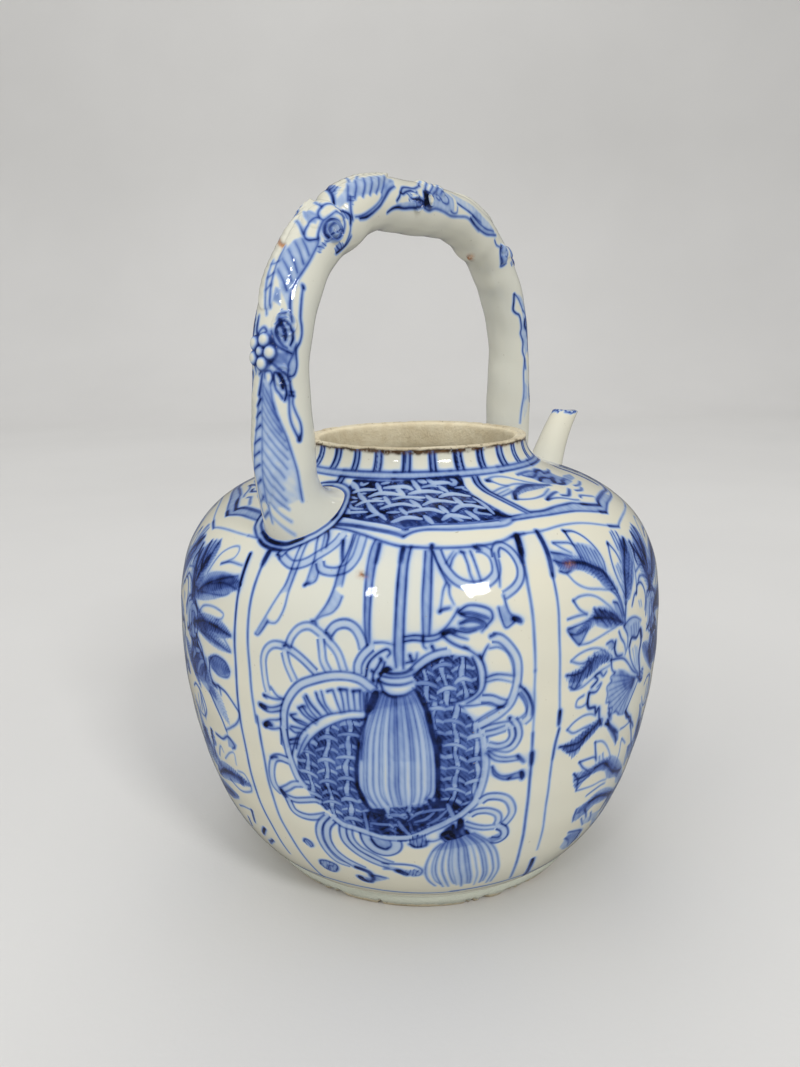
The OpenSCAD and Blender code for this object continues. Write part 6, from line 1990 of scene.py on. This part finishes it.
def glaze_material(name):
    """Greenish-white glaze over cobalt that pools and thins, with rusty spots and pinholes, and painted
    shade where it lies inside a piece.
    """
    n = Nodes(name)
    ink = n.attribute("ink")
    pool = n.cloud(260, 4, 0.3, 0.7, -0.1, 0.1)
    patch = n.cloud(45, 2, 0.3, 0.7, -0.06, 0.06)
    inked = n.plus(ink, n.times(n.plus(pool, patch), ink), clamp=True)
    white = n.mix(n.cloud(14, 3, 0.35, 0.65, 0, 1), srgb(219, 215, 195), srgb(212, 212, 199))
    colour = n.mix(n.span(inked, 0.0, 0.16, 0, 1), white, n.ramp(inked, COBALT))
    grit = n.cloud(900, 2, 0.73, 0.78, 0, 0.5)
    colour = n.mix(grit, colour, srgb(150, 140, 118))
    # rust is burnt brown along the mouth's edge and orange elsewhere
    burnt = n.ramp(n.noise(420, 3), [(0.3, srgb(34, 24, 16)), (0.7, srgb(104, 74, 44))])
    orange = n.ramp(n.noise(420, 3), [(0.35, srgb(70, 44, 26)), (0.5, srgb(160, 100, 54)),
                                      (0.65, srgb(206, 146, 88))])
    height = n.height()
    by_lip = n.times(n.span(height, BURNT_LOW, BURNT_LOW + FADE, 0, 1),
                     n.span(height, BURNT_HIGH, BURNT_HIGH + FADE, 1, 0))
    rust = n.times(n.attribute("rust"), n.cloud(700, 3, 0.35, 0.5, 0.4, 1.0), clamp=True)
    colour = n.mix(rust, colour, n.mix(by_lip, orange, burnt))
    # painted shade: the glaze is greyed inside the pot and the spout, and half as much under the base
    within = n.attribute("within")
    colour = n.mix(n.times(within, 0.55), colour, srgb(196, 196, 178))
    n.shader.inputs["IOR"].default_value = 1.45
    ripple = n.plus(n.noise(55, 2), n.times(n.noise(420, 2), 0.12))
    ripple = n.math("SUBTRACT", ripple, n.times(grit, 0.3))
    n.bump(ripple, 0.35, 0.0006)
    return n.dress(colour, n.cloud(120, 3, 0.3, 0.7, 0.02, 0.06))


def bare_clay(n):
    """Colour of bare fired clay, sandy and stained, with its grain put on the shader."""
    clay = n.ramp(n.noise(70, 5), [(0.3, srgb(188, 172, 140)), (0.5, srgb(205, 193, 164)),
                                   (0.7, srgb(216, 208, 184))])
    specks = n.cloud(1100, 2, 0.62, 0.7, 0, 0.8)
    colour = n.mix(specks, clay, srgb(112, 96, 72))
    stain = n.cloud(180, 4, 0.58, 0.72, 0, 0.55)
    grain = n.plus(n.noise(1400, 3), n.times(n.noise(250, 3), 1.2))
    n.bump(grain, 0.6, 0.00035)
    return n.mix(stain, colour, srgb(150, 128, 92))


def lip_material(name):
    """Bare clay, painted paler inside the mouth as painted light, and dark brown where the glaze crawls
    back from it.
    """
    n = Nodes(name)
    colour = bare_clay(n)
    place = n.add("ShaderNodeSeparateXYZ", Vector=n.place).outputs
    away = n.math("SQRT", n.plus(n.times(place["X"], place["X"]), n.times(place["Y"], place["Y"])))
    # painted light: the bore inside the mouth is painted paler than the clay outside, to stand in for light
    pale = n.mix(n.cloud(300, 3, 0.35, 0.7, 0, 1), srgb(240, 228, 196), srgb(222, 206, 170))
    colour = n.mix(n.span(away, PAINTED_LIGHT_OUT, PAINTED_LIGHT_IN, 0, 0.75), colour, pale)
    ragged = n.plus(place["Z"], n.cloud(260, 4, 0.2, 0.8, -0.0006, 0.0006))
    low = n.times(n.span(ragged, CRAWL_TOP, CRAWL_LOW, 0, 0.95),
                  n.span(away, CRAWL_R, CRAWL_R + FADE, 0, 1))
    brown = n.ramp(n.noise(500, 3), [(0.3, srgb(26, 20, 14)), (0.75, srgb(96, 72, 44))])
    return n.dress(n.mix(low, colour, brown), n.cloud(400, 2, 0.3, 0.7, 0.62, 0.85))


def foot_material(name):
    """Bare clay where the foot stands, glazed above a ragged line."""
    n = Nodes(name)
    ragged = n.plus(n.height(), n.cloud(240, 4, 0.2, 0.8, -RAGGED, RAGGED))
    glazed = n.span(ragged, CLAY_TOP, GLAZE_LOW, 0, 1)
    colour = n.mix(glazed, bare_clay(n), srgb(196, 199, 184))
    return n.dress(colour, n.span(ragged, CLAY_TOP, 0.002, 0.8, 0.12))


def floor_material(name):
    """Pale matt paper, which is darker as a reflection in the glaze than to the camera."""
    n = Nodes(name)
    colour = n.ramp(n.noise(3, 3), [(0.3, srgb(205, 204, 201)), (0.7, srgb(210, 209, 206))])
    mirrored = n.add("ShaderNodeLightPath").outputs["Is Glossy Ray"]
    colour = n.mix(mirrored, colour, srgb(110, 110, 112))
    n.shader.inputs["Specular IOR Level"].default_value = 0.1
    n.bump(n.noise(900, 3), 0.15, 0.0003)
    return n.dress(colour, 0.9)


# ---------- stage ----------

def make_stage():
    """Pale floor that turns up into a backdrop behind the pot."""
    far, width, bend, high = 1.6, 6.0, 0.5, 3.2
    profile = [(-2.4, 0.0), (far - bend, 0.0)]
    profile += [(far - bend + bend * math.sin(a), bend - bend * math.cos(a))
                for a in np.linspace(0.1, math.pi / 2, 14)]
    profile += [(far, high)]
    along = Vector((0.79416837, 0.55966495, 0)).normalized()    # away from the camera
    across = Vector((-along.y, along.x, 0))
    verts = []
    for d, z in profile:
        for w in (-width / 2, width / 2):
            p = along * d + across * w
            verts.append((p.x * 1000, p.y * 1000, z * 1000))
    faces = [(2 * i, 2 * i + 2, 2 * i + 3, 2 * i + 1) for i in range(len(profile) - 1)]
    floor = add_object("stage_floor", verts, FaceSet(faces))
    floor.data.materials.append(floor_material("pale_paper"))


def lamp(name, place, aim, size, power, mirrored=True):
    """An area lamp; mirrored says whether its shape shows in the glaze."""
    data = bpy.data.lights.new(name, "AREA")
    data.shape = "RECTANGLE"
    data.size, data.size_y = size
    data.energy = power
    obj = bpy.data.objects.new(name, data)
    obj.location = place
    obj.rotation_euler = (Vector(aim) - Vector(place)).to_track_quat("-Z", "Y").to_euler()
    obj.visible_glossy = mirrored
    bpy.context.scene.collection.objects.link(obj)


ROOM_LIGHT, ROOM_MIRRORED = 0.42, 0.12    # strength of the room's light, and of its reflection


def make_lights():
    """Two small lamps that show in the glaze, four soft ones that don't, and a pale room."""
    aim = (0, 0, 0.08)
    lamp("key", (-0.68, -1.48, 1.35), aim, (0.38, 0.3), 14.5)
    lamp("window", (-1.62, -0.35, 1.35), aim, (0.14, 0.22), 2.5)
    lamp("fill", (-1.0, -1.5, 0.65), (0, 0, 0.04), (0.9, 0.5), 2.7, mirrored=False)
    lamp("left", (-1.5, 0.9, 0.9), aim, (2.0, 1.7), 10, mirrored=False)
    lamp("top", (0.1, 0.2, 2.1), aim, (2.4, 2.4), 20, mirrored=False)
    lamp("rear", (1.3, 0.9, 1.1), aim, (0.9, 0.9), 5, mirrored=False)
    world = bpy.data.worlds.new("studio")
    bpy.context.scene.world = world
    world.use_nodes = True
    tree = world.node_tree
    back = tree.nodes["Background"]
    back.inputs["Color"].default_value = (0.97, 0.97, 1.0, 1)
    # the room is dimmer as a reflection in the glaze than as light on it
    path = tree.nodes.new("ShaderNodeLightPath")
    dim = tree.nodes.new("ShaderNodeMapRange")
    dim.inputs["To Min"].default_value = ROOM_LIGHT
    dim.inputs["To Max"].default_value = ROOM_MIRRORED
    tree.links.new(path.outputs["Is Glossy Ray"], dim.inputs["Value"])
    tree.links.new(dim.outputs["Result"], back.inputs["Strength"])


def main():
    """Builds the pieces, dresses them, and sets the stage."""
    make_camera()
    body = make_pot_body()
    body.data.materials.append(glaze_material("painted_glaze"))
    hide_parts("lower_bowl", "shoulder", "neck")
    lip = make_mouth_lip()
    lip.data.materials.append(lip_material("bare_lip"))
    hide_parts("mouth_rim")
    foot = make_foot()
    foot.data.materials.append(foot_material("bare_foot"))
    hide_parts("foot_ring")
    handle = make_handle()
    handle.data.materials.append(glaze_material("handle_glaze"))
    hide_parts("front_spread_foot", "rear_spread_foot", "front_leg", "rear_leg", "arch",
                "front_knot", "rear_knot", "front_leg_leaf", "rear_leg_leaf", "front_bend_leaf",
                "rear_bend_leaf", "front_top_leaf", "rear_top_leaf", "front_blossom",
                "bend_blossom", "top_blossom", "rear_bud")
    spout = make_spout()
    spout.data.materials.append(glaze_material("spout_glaze"))
    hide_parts("spout")
    for piece in (body, lip, foot, handle, spout):
        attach(piece, "root")
    make_stage()
    make_lights()
    scene = bpy.context.scene
    scene.view_settings.view_transform = "Standard"


main()
